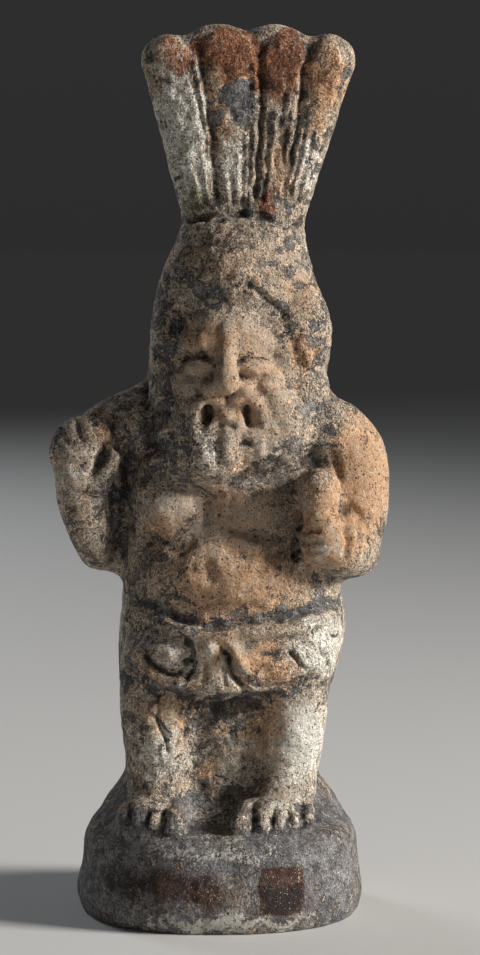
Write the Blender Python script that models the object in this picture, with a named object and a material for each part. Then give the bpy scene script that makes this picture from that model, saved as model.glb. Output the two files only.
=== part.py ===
"""Terracotta statuette of a bearded dwarf god with a feather crown, one solid of fired clay.

Metres, +Z up. The figure faces -Y, and its raised hand is on the -X side. The origin is the middle of
the plinth's flat underside. Plinth and crown have their own sizes. The figure between them is drawn at
DRAWN_HEIGHT units tall, soles at 0, so that one unit is a millimetre at the real size.
"""

import math

import bmesh
import bpy
import numpy as np
from mathutils import Matrix, Vector

PLINTH_WIDTH = 0.077
PLINTH_DEPTH = 0.070
PLINTH_HEIGHT = 0.025
FIGURE_HEIGHT = 0.158
CROWN_HEIGHT = 0.052
CROWN_FOOT_WIDTH = 0.0325
CROWN_TOP_WIDTH = 0.0590
CROWN_THICKNESS = 0.0110
# Shares of the crown's width: the tops of its feathers, and the grooves between them.
FEATHER_TIPS = (0.13, 0.36, 0.62, 0.87)
FEATHER_GROOVES = (0.305, 0.58, 0.785)
# The share of the crown's height at which its sides stop spreading, and its middle plane, drawn.
CROWN_SPREAD_END = 0.86
CROWN_PLANE = 4.5

DRAWN_HEIGHT = 158.0
UNIT = FIGURE_HEIGHT / DRAWN_HEIGHT
ROUGH_VOXEL = 1.1 * UNIT
FINE_VOXEL = 0.75 * UNIT
SOLID_TRIANGLES = 9400
# What softening takes off the feathers' tips.
TIP_WEAR = 0.8 * UNIT

# The face, drawn: its upright axis, its hairline and its chin.
FACE_AXIS = 1.6
FACE_TOP = 138.0
FACE_CHIN = 101.0

CLAY_COLOUR = (0.56, 0.37, 0.24, 1.0)
CLAY_ROUGHNESS = 0.85

# The trunk's outline: height, left, right, front, back.
TRUNK = (
    (-6, -24.0, 24.0, -4.0, 20.0),
    (10, -25.2, 25.0, -7.0, 20.0),
    (20, -26.8, 27.0, -8.0, 21.0),
    (30, -27.3, 28.2, -9.0, 21.0),
    (36, -27.4, 30.0, -17.0, 22.0),
    (44, -27.6, 32.3, -20.0, 23.0),
    (49, -27.3, 33.1, -20.0, 23.0),
    (56, -26.6, 32.9, -18.0, 22.0),
    (62, -26.0, 31.8, -17.0, 21.0),
    (70, -25.5, 31.0, -15.0, 21.0),
    (80, -25.8, 31.5, -12.0, 21.0),
    (92, -25.0, 32.0, -10.0, 20.0),
    (102, -24.0, 34.0, -7.0, 19.0),
    (110, -21.0, 32.0, -4.0, 17.0),
    (116, -16.0, 26.0, -1.0, 14.0),
)

# The head with its hair, without the face.
HEAD = (
    (96, -14.0, 22.0, -8.0, 16.0),
    (104, -18.5, 27.5, -9.0, 18.0),
    (112, -19.3, 28.2, -9.0, 20.0),
    (118, -19.7, 28.0, -9.0, 21.0),
    (124, -19.3, 29.3, -9.0, 22.0),
    (131, -18.9, 28.9, -9.5, 22.0),
    (137, -18.0, 27.3, -10.5, 21.0),
    (142, -16.8, 25.5, -11.0, 20.0),
    (147, -14.9, 24.0, -10.5, 19.0),
    (152, -12.2, 22.6, -9.0, 17.0),
    (156, -11.0, 22.0, -7.0, 15.0),
    (160, -10.4, 22.2, -4.0, 12.0),
)


def drawn(x, y, z):
    """A point of the figure's drawing, in metres."""
    return Vector((x * UNIT, y * UNIT, PLINTH_HEIGHT + z * UNIT))


def add_rings(clay, rings):
    """A closed skin over rings of equally many points, with flat ends."""
    made = [[clay.verts.new(point) for point in ring] for ring in rings]
    count = len(made[0])
    for low, high in zip(made, made[1:]):
        for i in range(count):
            j = (i + 1) % count
            clay.faces.new((low[i], low[j], high[j], high[i]))
    clay.faces.new(reversed(made[0]))
    clay.faces.new(made[-1])


def oval(centre, half_width, half_depth, squareness=2.0, count=48):
    """A level superellipse. squareness 2 is an ellipse, and more is boxier."""
    points = []
    for i in range(count):
        angle = 2 * math.pi * i / count
        c, s = math.cos(angle), math.sin(angle)
        across = math.copysign(abs(c) ** (2 / squareness), c) * half_width
        along = math.copysign(abs(s) ** (2 / squareness), s) * half_depth
        points.append(centre + Vector((across, along, 0)))
    return points


def add_drawn_loft(clay, outline, squareness):
    """A body from its drawn outline of height, left, right, front and back."""
    rings = []
    for height, left, right, front, back in outline:
        centre = drawn((left + right) / 2, (front + back) / 2, height)
        rings.append(oval(centre, (right - left) / 2 * UNIT, (back - front) / 2 * UNIT, squareness))
    add_rings(clay, rings)


def add_ball(clay, centre, radii, lean=0.0, nod=0.0, rows=14, count=28):
    """A drawn ellipsoid. lean turns its top to +X and nod turns it in the side view, in degrees."""
    turn = Matrix.Rotation(math.radians(lean), 3, "Y") @ Matrix.Rotation(math.radians(nod), 3, "X")
    size = Matrix.Diagonal([r * UNIT for r in radii])
    middle = drawn(*centre)
    rings = []
    for i in range(rows):
        latitude = math.pi * ((i + 0.5) / rows - 0.5)
        ring = oval(Vector((0, 0, math.sin(latitude))), math.cos(latitude), math.cos(latitude), count=count)
        rings.append([middle + turn @ size @ point for point in ring])
    add_rings(clay, rings)


def smooth_path(points, radii, steps=6):
    """Points and radii along a Catmull-Rom curve through the given ones."""
    given = [(*point, radius) for point, radius in zip(points, radii)]
    given = [np.array(row, float) for row in given]
    ends = [2 * given[0] - given[1], *given, 2 * given[-1] - given[-2]]
    path = []
    for a, b, c, d in zip(ends, ends[1:], ends[2:], ends[3:]):
        for t in np.arange(steps) / steps:
            path.append(0.5 * (2 * b + (c - a) * t + (2 * a - 5 * b + 4 * c - d) * t**2
                               + (3 * b - a - 3 * c + d) * t**3))
    path.append(given[-1])
    return path


def add_roll(clay, points, radii, flat=1.0, count=14):
    """A round-ended roll of clay through points in metres. flat squeezes its section from front to back."""
    path = smooth_path(points, radii)
    centres = [Vector(row[:3]) for row in path]
    widths = [row[3] for row in path]
    start = (centres[1] - centres[0]).normalized()
    finish = (centres[-1] - centres[-2]).normalized()
    cap = [math.radians(a) for a in (80, 60, 40, 20)]
    rows = [(centres[0] - start * widths[0] * math.sin(a), widths[0] * math.cos(a), start) for a in cap]
    for i, centre in enumerate(centres):
        ahead = centres[min(i + 1, len(centres) - 1)]
        behind = centres[max(i - 1, 0)]
        rows.append((centre, widths[i], (ahead - behind).normalized()))
    rows += [(centres[-1] + finish * widths[-1] * math.sin(a), widths[-1] * math.cos(a), finish)
             for a in reversed(cap)]
    rings = []
    for centre, width, way in rows:
        sideways = abs(way.y) < 0.9
        side = way.cross(Vector((0, 1, 0)) if sideways else Vector((0, 0, 1))).normalized()
        front = side.cross(way).normalized()
        squeeze = flat if sideways else 1.0
        rings.append([centre + side * (math.cos(a) * width) + front * (math.sin(a) * width * squeeze)
                      for a in (2 * math.pi * k / count for k in range(count))])
    add_rings(clay, rings)


def add_limb(clay, points, radii, flat=1.0):
    """A drawn roll of clay."""
    add_roll(clay, [drawn(*point) for point in points], [radius * UNIT for radius in radii], flat)


def knead(clay, voxel, passes):
    """One skin round all that the clay holds, its joins softened. The clay then holds that skin."""
    bmesh.ops.recalc_face_normals(clay, faces=clay.faces)
    rough = bpy.data.meshes.new("lump")
    clay.to_mesh(rough)
    clay.clear()
    lump = bpy.data.objects.new("lump", rough)
    bpy.context.scene.collection.objects.link(lump)
    remesh = lump.modifiers.new("one skin", "REMESH")
    remesh.mode = "VOXEL"
    remesh.voxel_size = voxel
    soften = lump.modifiers.new("soften", "SMOOTH")
    soften.factor = 0.5
    soften.iterations = passes
    graph = bpy.context.evaluated_depsgraph_get()
    skin = bpy.data.meshes.new_from_object(lump.evaluated_get(graph))
    bpy.data.objects.remove(lump)
    clay.from_mesh(skin)
    bpy.data.meshes.remove(skin)


def add_plinth(clay):
    """A low oval drum, flared at the foot, that runs on under the ground plane until it is cut there."""
    profile = ((-0.16, 0.86), (0.0, 0.945), (0.12, 0.985), (0.26, 1.0), (0.5, 0.96), (0.75, 0.95),
               (0.88, 0.93), (0.96, 0.885), (1.0, 0.82))
    rings = []
    for height, share in profile:
        centre = Vector((-PLINTH_WIDTH / 250, 0, height * PLINTH_HEIGHT))
        rings.append(oval(centre, share * PLINTH_WIDTH / 2, share * PLINTH_DEPTH / 2, 2.3))
    add_rings(clay, rings)


def add_mound(clay):
    """The clay that rises from the plinth's top to the ankles."""
    outline = ((-4, -34.0, 33.5, -22.0, 30.0), (0, -33.0, 33.0, -18.0, 29.0), (4, -30.5, 30.5, -12.0, 27.0),
               (8, -27.5, 27.5, -9.0, 24.0), (12, -25.0, 25.0, -7.0, 21.0))
    add_drawn_loft(clay, outline, 2.2)


def add_legs(clay):
    add_limb(clay, ((-16.5, -7, 40), (-16, -7, 24), (-14.5, -6, 8)), (10.8, 10.6, 9.2))
    add_limb(clay, ((19.0, -7, 40), (18, -7, 24), (16.0, -6, 8)), (10.2, 9.8, 8.8))


def add_arms(clay):
    """The raised arm with the clay that fills its bend, and the bent arm across the belly."""
    add_limb(clay, ((-18, 8, 107), (-28, 6, 102), (-34, 5, 94), (-35, 4, 82), (-32, 4, 70.5)),
             (9, 9.5, 10.6, 8.8, 6.0), flat=0.75)
    add_ball(clay, (-27.0, 5.0, 86.0), (8.0, 7.0, 23.0))
    add_limb(clay, ((-33.0, -2, 70.5), (-35.0, -5.5, 78), (-36.6, -7, 88), (-36.8, -7, 96)),
             (5.2, 6.4, 7.0, 7.4), flat=0.85)
    add_limb(clay, ((24, 4, 106), (32.5, 2, 97), (34.2, 0, 84), (33.0, -3, 73)), (9, 11.0, 10.8, 9.4))
    add_limb(clay, ((35.0, -5, 71.5), (32.0, -13, 72.5), (29, -16.5, 74.5)), (7.8, 7.2, 6.6))


def crown_span(share):
    """The crown's left edge and width in metres, at a share of its height."""
    spread = min(1.0, share / CROWN_SPREAD_END)
    width = CROWN_FOOT_WIDTH + (CROWN_TOP_WIDTH - CROWN_FOOT_WIDTH) * spread
    middle = drawn(6.0 + 1.2 * spread, 0, 0).x
    return middle - width / 2, width


def crown_point(across, share, forward):
    """A point of the crown from its shares of the width and height, forward of the crown's middle plane."""
    left, width = crown_span(share)
    foot = drawn(0, CROWN_PLANE, DRAWN_HEIGHT)
    return Vector((left + across * width, foot.y - forward, foot.z + share * CROWN_HEIGHT))


def add_crown(clay):
    """The fan-shaped slab, and the round tops of its feathers. The outer two are smaller and lower."""
    rings = []
    for share in (-0.08, 0.0, 0.15, 0.4, 0.7, 0.84):
        left, width = crown_span(max(share, 0))
        half = CROWN_THICKNESS / 2 * (1.2 - 0.3 * max(share, 0))
        centre = crown_point(0.5, max(share, 0), 0)
        centre.z += min(share, 0) * CROWN_HEIGHT
        rings.append(oval(centre, width / 2, half, 3.0))
    add_rings(clay, rings)
    for i, across in enumerate(FEATHER_TIPS):
        outer = i in (0, len(FEATHER_TIPS) - 1)
        tip = (0.13 if outer else 0.215) * CROWN_TOP_WIDTH
        top = (0.945 if outer else 1.0) - (tip - TIP_WEAR) / CROWN_HEIGHT
        points = [crown_point(0.5 + (across - 0.5) * 0.8, top - 0.3, 0), crown_point(across, top, 0)]
        add_roll(clay, points, (tip * 0.8, tip), CROWN_THICKNESS * 0.46 / tip, count=28)


def add_torso(clay):
    """Breasts, belly and shoulders."""
    add_ball(clay, (-14.0, -4.0, 84.0), (10.8, 9.5, 11.5))
    add_ball(clay, (7.0, -4.5, 83.0), (13.0, 9.8, 11.0))
    add_ball(clay, (-3.0, -3.0, 93.0), (20.0, 11.0, 9.0))
    add_ball(clay, (2.0, -4.5, 65.0), (25.0, 16.5, 13.5))
    add_ball(clay, (28.0, 0.0, 103.0), (11.0, 11.0, 9.0))
    add_ball(clay, (-22.0, 3.0, 103.0), (11.0, 9.0, 9.0))


def add_head_masses(clay):
    """Face, cheeks, beard and the cap of hair."""
    add_ball(clay, (FACE_AXIS, -3.0, 120.0), (15.6, 13.5, 19.5))
    add_ball(clay, (3.0, -5.0, 103.0), (20.5, 13.5, 13.5))
    add_ball(clay, (-2.0, -8.5, 98.0), (11.5, 11.5, 10.5))
    add_ball(clay, (13.5, -5.5, 104.0), (12.0, 11.0, 12.0))
    add_ball(clay, (5.2, 1.0, 144.5), (18.0, 14.0, 13.5))
    add_ball(clay, (20.0, 1.0, 128.0), (8.5, 11.5, 14.0), lean=-8)
    add_ball(clay, (-14.2, 0.0, 118.0), (5.0, 9.5, 22.0))


def add_hands(clay):
    """The raised hand with its thumb, and the fist with the knob that it holds."""
    add_ball(clay, (-36.8, -6.5, 98.0), (8.4, 5.4, 9.8), lean=18)
    add_ball(clay, (-34.2, -7.5, 101.5), (6.0, 4.6, 5.8), lean=30)
    add_limb(clay, ((-33.5, -8.5, 86.5), (-29.8, -10.5, 92.0), (-27.8, -10.5, 96.6)), (3.4, 2.7, 2.1))
    add_ball(clay, (26.8, -16.5, 75.0), (6.6, 6.8, 6.4))
    add_limb(clay, ((25.6, -16.5, 88.6), (25.8, -16.5, 83.5), (26.0, -17.0, 76.0)), (5.9, 5.0, 4.0))
    add_ball(clay, (25.8, -10.5, 86.0), (5.4, 7.0, 7.5))


def add_kilt_masses(clay):
    """The skirt of the wrapped kilt, and the folded apron that hangs in front."""
    add_ball(clay, (2.5, -8.0, 45.5), (27.5, 14.8, 9.0))
    add_ball(clay, (-17.0, -8.0, 44.5), (9.0, 11.5, 6.5))
    add_ball(clay, (21.5, -7.5, 43.5), (9.5, 11.5, 8.5))
    belt = ((-24.0, -7, 54), (-13.0, -16.5, 51.0), (-2.0, -19.5, 50.0), (10.0, -19.0, 50.5),
            (22.0, -15, 52.0), (30.0, -5, 54.5))
    hem = ((-24.5, -6, 42.5), (-17.5, -14.0, 41.0), (-9.5, -18.0, 39.0), (-1.0, -19.5, 38.0),
           (7.5, -18.2, 38.6), (17.5, -15.0, 39.6), (26.5, -7, 40))
    apron = ((-2.0, -19.5, 49.0), (-1.5, -20.5, 43.0), (-0.9, -19.5, 40.0))
    add_limb(clay, belt, (2.6, 3.0, 3.0, 3.0, 3.0, 2.4))
    add_limb(clay, hem, (2.6, 3.2, 3.2, 3.4, 3.2, 3.4, 3.0))
    add_limb(clay, apron, (3.0, 6.0, 7.8), flat=0.42)


def add_feet_masses(clay):
    """Feet and ankles, and the web of clay that the mould leaves between the shins."""
    add_ball(clay, (-18.2, -15.5, 1.5), (9.8, 12.0, 7.0), nod=6)
    add_ball(clay, (13.6, -15.5, 1.5), (9.8, 12.0, 7.0), nod=6)
    add_ball(clay, (-16.0, -8.5, 9.0), (9.4, 9.0, 8.0))
    add_ball(clay, (16.8, -8.5, 9.0), (8.8, 9.0, 8.0))
    web = ((3, -10.0, 12.5, -9.5, 6.0), (14, -10.5, 12.5, -12.5, 6.0), (24, -11.0, 12.5, -14.0, 6.0),
           (33, -10.5, 12.5, -13.5, 6.0))
    add_drawn_loft(clay, web, 3.0)


def both(points):
    """Points of the face given from its axis, as they lie on its two sides."""
    return [[(FACE_AXIS + side * point[0], *point[1:]) for point in points] for side in (-1, 1)]


def add_features(clay):
    """Nose, moustache, cheeks, ear, fingers and toes."""
    add_limb(clay, ((FACE_AXIS, -14.2, 125.5), (FACE_AXIS, -16.5, 119.0), (FACE_AXIS, -18.0, 115.2)),
             (1.7, 2.3, 3.0))
    for side in both([(3.0, -15.8, 114.6)]):
        add_ball(clay, side[0], (2.0, 2.6, 1.9))
    for side in both([(8.6, -9.0, 116.2)]):
        add_ball(clay, side[0], (5.2, 5.0, 4.6))
    for side in both([(1.4, -15.6, 111.3), (5.4, -15.2, 110.6), (9.4, -12.8, 106.8), (10.8, -11.8, 102.5)]):
        add_limb(clay, side, (1.9, 2.4, 2.2, 1.2))
    add_ball(clay, (23.2, -8.0, 124.0), (2.3, 3.2, 4.4), lean=-10)
    for x, reach, size in ((-12.0, 26.6, 3.1), (-17.4, 25.9, 2.4), (-21.8, 24.4, 2.2), (-25.6, 22.0, 2.0)):
        add_limb(clay, ((x + 0.4, -17.0, 4.6), (x, -reach, 2.8)), (size, size))
    for x, reach, size in ((5.2, 27.0, 2.7), (11.2, 26.4, 2.3), (15.6, 25.4, 2.1), (19.4, 23.8, 1.9),
                           (22.6, 21.6, 1.7)):
        root = x + (2.0 if x < 8 else 0.3)
        add_limb(clay, ((root, -17.0, 5.0), (x, -reach, 2.6)), (size, size))


def rough_out(clay):
    """The big volumes, blended softly."""
    add_plinth(clay)
    add_mound(clay)
    add_drawn_loft(clay, TRUNK, 2.5)
    add_drawn_loft(clay, HEAD, 2.3)
    add_legs(clay)
    add_arms(clay)
    add_crown(clay)
    knead(clay, ROUGH_VOXEL, 12)


def model_masses(clay):
    """Muscles, hair, beard, hands and cloth, as rounded additions."""
    add_torso(clay)
    add_head_masses(clay)
    add_hands(clay)
    add_kilt_masses(clay)
    add_feet_masses(clay)
    knead(clay, ROUGH_VOXEL, 8)


def drawn_points(clay):
    """Where the skin's vertices lie in the drawing, and their normals."""
    clay.normal_update()
    clay.verts.ensure_lookup_table()
    points = np.array([vert.co for vert in clay.verts]) - np.array(drawn(0, 0, 0))
    return points / UNIT, np.array([vert.normal for vert in clay.verts])


class Stylus:
    """Marks pressed into, or laid on, the front of the skin. They are drawn in the front view, x and z."""

    def __init__(self, clay):
        self.points, self.normals = drawn_points(clay)
        self.facing = np.clip((-self.normals[:, 1] - 0.05) / 0.35, 0, 1)
        self.facing[self.points[:, 1] > 6] = 0

    def move(self, chosen, amount):
        self.points[chosen] += self.normals[chosen] * (amount * self.facing[chosen])[:, None]

    def line(self, path, half_width, height, taper=0.12):
        """A groove (height below 0) or a ridge along a smooth path, running out at its ends."""
        path = np.array(smooth_path(path, [0] * len(path), 4))[:, :2]
        low, high = path.min(0) - half_width, path.max(0) + half_width
        flat = self.points[:, (0, 2)]
        chosen = np.flatnonzero(((flat > low) & (flat < high)).all(1) & (self.facing > 0))
        near = np.full(len(chosen), 1e9)
        along = np.zeros(len(chosen))
        for i, (start, end) in enumerate(zip(path, path[1:])):
            way = end - start
            share = np.clip(((flat[chosen] - start) @ way) / max(way @ way, 1e-9), 0, 1)
            gap = np.linalg.norm(flat[chosen] - start - share[:, None] * way, axis=1)
            closer = gap < near
            near[closer] = gap[closer]
            along[closer] = (i + share[closer]) / (len(path) - 1)
        ends = np.clip(np.minimum(along, 1 - along) / taper + 0.25, 0, 1) if taper else 1
        self.move(chosen, height * ends * np.clip(1 - (near / half_width) ** 2, 0, 1) ** 2)

    def spot(self, centre, radii, height, lean=0.0, edge=1.0):
        """A hollow or a bump. lean turns its top to +x, and an edge under 1 flattens its middle."""
        turn = math.radians(lean)
        away = self.points[:, (0, 2)] - np.array(centre)
        across = away[:, 0] * math.cos(turn) - away[:, 1] * math.sin(turn)
        up = away[:, 0] * math.sin(turn) + away[:, 1] * math.cos(turn)
        far = np.hypot(across / radii[0], up / radii[1])
        chosen = np.flatnonzero((far < 1) & (self.facing > 0))
        fall = np.clip((1 - far[chosen]) / edge, 0, 1)
        self.move(chosen, height * fall * fall * (3 - 2 * fall))

    def finish(self, clay):
        places = self.points * UNIT + np.array(drawn(0, 0, 0))
        for vert, place in zip(clay.verts, places):
            vert.co = place


def crown_mark(across, share):
    """The drawn x and z of a place on the crown's front."""
    place = (crown_point(across, share, 0) - drawn(0, 0, 0)) / UNIT
    return place.x, place.z


def mark_crown(stylus):
    """Grooves between the feathers, the fine ribs, the drops at the tips, and the foot's undercut."""
    for across, top in zip(FEATHER_GROOVES, (0.89, 0.91, 0.88)):
        drift = (-0.02, -0.012, -0.004, 0, 0, 0)
        shares = [top + (0.08 - top) * k / 5 for k in range(6)]
        stylus.line([crown_mark(across + d, s) for d, s in zip(drift, shares)], 1.9, -1.9)
    ribs = ((0.49, 0.44, 1.1, -0.8), (0.7, 0.65, 1.7, -0.9), (0.89, 0.52, 1.2, -0.8))
    for across, top, half_width, depth in ribs:
        stylus.line([crown_mark(across, top + (0.1 - top) * k / 3) for k in range(4)], half_width, depth)
    stylus.line([crown_mark(0.04, 0.8), crown_mark(0.045, 0.45), crown_mark(0.05, 0.15)], 1.2, -0.7)
    for across, share, wide, high, lean in ((0.15, 0.82, 0.1, 0.135, -8), (0.41, 0.865, 0.12, 0.125, 0),
                                            (0.65, 0.8, 0.107, 0.163, 4), (0.862, 0.73, 0.075, 0.19, 8)):
        radii = (wide * CROWN_TOP_WIDTH / UNIT, high * CROWN_HEIGHT / UNIT)
        stylus.spot(crown_mark(across, share), radii, 1.1, lean, 0.35)
    stylus.line([(-10.5, 158.5), (1, 160.3), (10, 159.8), (15, 158.6), (22, 156.6)], 1.5, -1.6, 0)
    stylus.line([(-11, 156.0), (4, 157.4), (14, 156.6), (22, 154.4)], 1.8, 0.6, 0)


def mark_hair(stylus):
    """The hairline, the ear, the strands that hang at the sides, and small curls on the cap."""
    stylus.line([(6.5, 142.5), (10, 139.3), (14, 136.6), (16.6, 133.4), (20, 130.4), (24, 126)], 1.5, -1.3)
    stylus.line([(-0.5, 142.5), (-6, 139.5), (-10.4, 134.5), (-12.8, 128), (-14.2, 118), (-14.4, 110),
                 (-13, 104)], 1.6, -1.7)
    stylus.line([(19.3, 131), (22.0, 130), (24.8, 126.5), (25.6, 122), (24.3, 117.5)], 1.2, 1.1)
    stylus.spot((22.8, 124), (1.6, 2.8), -1.3)
    for i in range(3):
        x = -16.0 - i * 1.6
        strand = [(x + 1, 134), (x - 0.6, 126), (x + 0.7, 117), (x - 0.4, 108), (x + 0.8, 99)]
        stylus.line(strand, 0.9, -0.8)
    dice = np.random.default_rng(7)
    for row in range(6):
        z = 139 + row * 2.9
        half = 17.5 - row * 1.4
        for k in range(9):
            x = 5.2 + half * ((k + 0.5 * (row % 2)) / 4.5 - 0.95) + dice.uniform(-0.6, 0.6)
            if z > 142 or abs(x - FACE_AXIS) > 9 + (142 - z):
                stylus.spot((x, z + dice.uniform(-0.6, 0.6)), (2.1, 1.5), 0.75, dice.uniform(-50, 50))


def mark_face(stylus):
    """A plain, general face, its eyes, nose and mouth at the thirds of the head."""
    brow_height = FACE_TOP - (FACE_TOP - FACE_CHIN) / 3
    eye_height = brow_height - 3.9
    mouth_height = FACE_CHIN + (FACE_TOP - FACE_CHIN) * 2 / 9
    for side in both([(2.0, -0.7), (5.0, 1.5), (9.0, 1.2), (13.0, -2.6)]):
        stylus.line([(x, brow_height + z) for x, z in side], 2.1, 1.7)
    for side in both([(6.2, 0.5)]):
        stylus.spot((side[0][0], eye_height + side[0][1]), (4.8, 3.2), -1.9)
        stylus.spot((side[0][0], eye_height), (2.9, 1.9), 1.2)
    for side in both([(2.7, -0.5), (4.4, 1.5), (6.6, 1.9), (9.4, -0.2)]):
        stylus.line([(x, eye_height + z) for x, z in side], 0.95, 0.8)
    for side in both([(2.9, -0.9), (5.6, -2.0), (8.8, -0.8)]):
        stylus.line([(x, eye_height + z) for x, z in side], 0.85, 0.6)
    for side in both([(4.9, 4.6), (7.8, 1.4), (10.0, -2.0)]):
        stylus.line([(x, mouth_height + z) for x, z in side], 1.2, -0.9)
    for side in both([(4.6, 0.6), (6.1, -1.6), (7.6, -3.6)]):
        stylus.line([(x, mouth_height + z) for x, z in side], 2.0, -4.2)
    lips = [(FACE_AXIS - 3.4, mouth_height - 0.3), (FACE_AXIS, mouth_height - 1.0),
            (FACE_AXIS + 3.4, mouth_height - 0.3)]
    stylus.line(lips, 1.0, -1.0)
    stylus.spot((FACE_AXIS, mouth_height - 3.0), (3.2, 1.9), 0.9)
    furrow = [(FACE_AXIS - 8, brow_height + 6.3), (FACE_AXIS, brow_height + 7.2),
              (FACE_AXIS + 8, brow_height + 6.3)]
    stylus.line(furrow, 1.1, -0.5)
    stylus.line([(FACE_AXIS - 1.1, brow_height + 4.0), (FACE_AXIS - 1.3, brow_height)], 0.9, -0.6)
    stylus.line([(FACE_AXIS + 1.1, brow_height + 4.0), (FACE_AXIS + 1.3, brow_height)], 0.9, -0.6)


def mark_beard(stylus):
    """Wavy locks that fall from the cheeks and draw in under the chin, and the beard's lower edge."""
    locks = 12
    for i in range(locks):
        share = i / (locks - 1)
        side = share * 2 - 1
        top_x = 2.5 + 20.0 * side
        top_z = 103.5 + 8.0 * side * side
        end_x = 0.5 + 15.0 * side
        end_z = 89.5 + 6.5 * abs(side) ** 1.5
        path = []
        for k in range(5):
            t = k / 4
            sway = math.sin(t * 7 + i * 1.3) * 0.8
            path.append((top_x + (end_x - top_x) * t + sway, top_z + (end_z - top_z) * t))
        stylus.line(path, 1.9, 1.0)
        stylus.line([(x + 1.75, z) for x, z in path], 1.0, -1.1)
    stylus.line([(-19, 98), (-15, 92.0), (-8, 88.6), (-2, 87.6), (3, 89.8), (8, 91.4), (13, 90.6), (18, 93.5),
                 (23, 98.5)], 1.7, -1.6)


def mark_torso(stylus):
    """Creases of breasts, belly and arms, the navel and the bracelets."""
    stylus.line([(-23.6, 88), (-22, 79.5), (-18, 75.2), (-12, 72.6), (-8, 73.6), (-4.5, 76.5)], 1.8, -1.3)
    stylus.line([(-1, 74.5), (5, 72.6), (12, 71.8), (16, 70.5)], 2.0, -1.4)
    stylus.line([(-3.4, 86), (-4, 80), (-4, 76)], 2.2, -0.8)
    stylus.line([(7, 86.5), (10, 88), (13, 90.5)], 1.2, -0.9)
    stylus.line([(-3, 69.3), (-3.4, 64.3)], 1.5, -1.6)
    stylus.line([(-17, 66), (-6, 62.0), (6, 62.0), (16, 64.5)], 1.6, -0.4)
    stylus.line([(-24.4, 101), (-25.0, 92), (-25.6, 82), (-26.0, 72)], 1.8, -2.2)
    stylus.line([(29.6, 99), (30.6, 93), (31.6, 86.5), (35, 82), (40, 77.5)], 1.7, -1.6)
    stylus.line([(31.6, 79.6), (32.7, 75.6), (31.4, 71.4)], 1.0, -1.1)
    stylus.line([(34.6, 80.6), (36.4, 76), (35, 70.6), (30.5, 67.6)], 1.1, -1.1)
    stylus.line([(33.2, 80.6), (34.6, 75.8), (33.2, 70.6)], 1.1, 0.7)
    for i in range(3):
        z = 78.2 - i * 2.9
        stylus.line([(19.4, z - 0.3), (23.0, z), (27.2, z + 0.4)], 1.0, -1.3)
    stylus.line([(22.6, 81.6), (26.6, 81.8), (30.0, 79.4)], 1.7, 1.0)
    stylus.line([(19.6, 82.5), (21.0, 80.0), (19.2, 72.0), (20.5, 68.5)], 1.5, -1.6)
    stylus.line([(27.5, 82.6), (31.0, 83.6), (33.0, 81.0)], 1.5, -1.4)


def mark_raised_hand(stylus):
    stylus.line([(-33.8, 90.5), (-32.2, 94.5), (-30.5, 98.5), (-29.2, 101.5)], 1.5, -2.6)
    for i in range(3):
        x = -41.5 + 3.9 * i
        stylus.line([(x, 105.3 + i * 1.2), (x + 1.6, 99.5 + i * 0.8)], 1.0, -1.0)
    stylus.spot((-37.5, 94.5), (4.2, 3.6), -0.9)
    stylus.line([(-43.2, 88.6), (-37, 87.2), (-31.5, 85.4)], 1.2, -0.7)


def mark_kilt(stylus):
    """Belt, swags, apron and folds of the kilt."""
    stylus.line([(-23, 60), (-19, 59), (-14, 56.6), (-8, 54.1), (-3, 52.9), (5, 54), (12, 55.2), (18, 56),
                 (24, 57.3), (30, 58.8)], 1.9, -1.9)
    stylus.line([(-22, 56.6), (-14, 53.4), (-8, 51.4), (-2, 50.6), (5, 51.7), (12, 52.3), (20, 53.1),
                 (30, 55.8)], 2.0, 1.1)
    stylus.line([(4, 49.5), (12, 49.4), (20, 50.2), (25, 51.4), (31, 53)], 1.4, -1.3)
    stylus.line([(-21, 53.8), (-16, 51), (-11, 49.8), (-6.5, 49.4)], 1.2, -0.9)
    stylus.line([(-19.3, 50.5), (-18.4, 46), (-14, 42.7), (-10, 42.0), (-6.8, 43.6)], 2.0, 1.6)
    stylus.line([(-7.2, 48.6), (-8.6, 45.6)], 1.9, -2.8)
    stylus.line([(-16.4, 49.8), (-15.6, 46.8)], 1.3, -1.3)
    stylus.line([(-20.4, 45.6), (-17, 41.2), (-12.5, 39.6), (-9, 40)], 1.3, -1.3)
    stylus.line([(-5.5, 46.6), (-7.7, 42), (-9.3, 38.4)], 1.2, -1.3)
    stylus.line([(0.8, 48.2), (3.5, 45.4), (5.2, 42), (7.4, 38.6), (8.2, 36.4)], 1.5, -2.0)
    stylus.line([(-4.2, 45), (-4.8, 38)], 1.0, -0.7)
    stylus.line([(-9.0, 36.6), (-4, 34.6), (1, 34.0), (7, 35.6)], 1.3, -0.9)
    stylus.line([(0.4, 45), (1.2, 37.4)], 1.0, -0.7)
    stylus.spot((-2.0, 48.2), (3.8, 2.8), 1.2)
    stylus.line([(1.5, 50.4), (4, 47), (7.5, 43.2), (11, 41.3), (15, 42), (18.4, 45)], 2.2, 1.3)
    stylus.spot((11.5, 46.8), (4.4, 2.6), -1.4)
    stylus.line([(17.0, 47), (20, 43.6), (23.0, 40.6)], 1.2, -1.1)
    stylus.line([(8.4, 39.0), (14, 39.4), (20, 40.4), (24.6, 43.2)], 1.3, -1.1)
    stylus.line([(20, 49.2), (24.4, 47.2), (28, 45)], 1.2, -0.9)
    stylus.line([(26.4, 47.0), (28.2, 42), (25.6, 38)], 1.1, -0.8)


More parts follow.
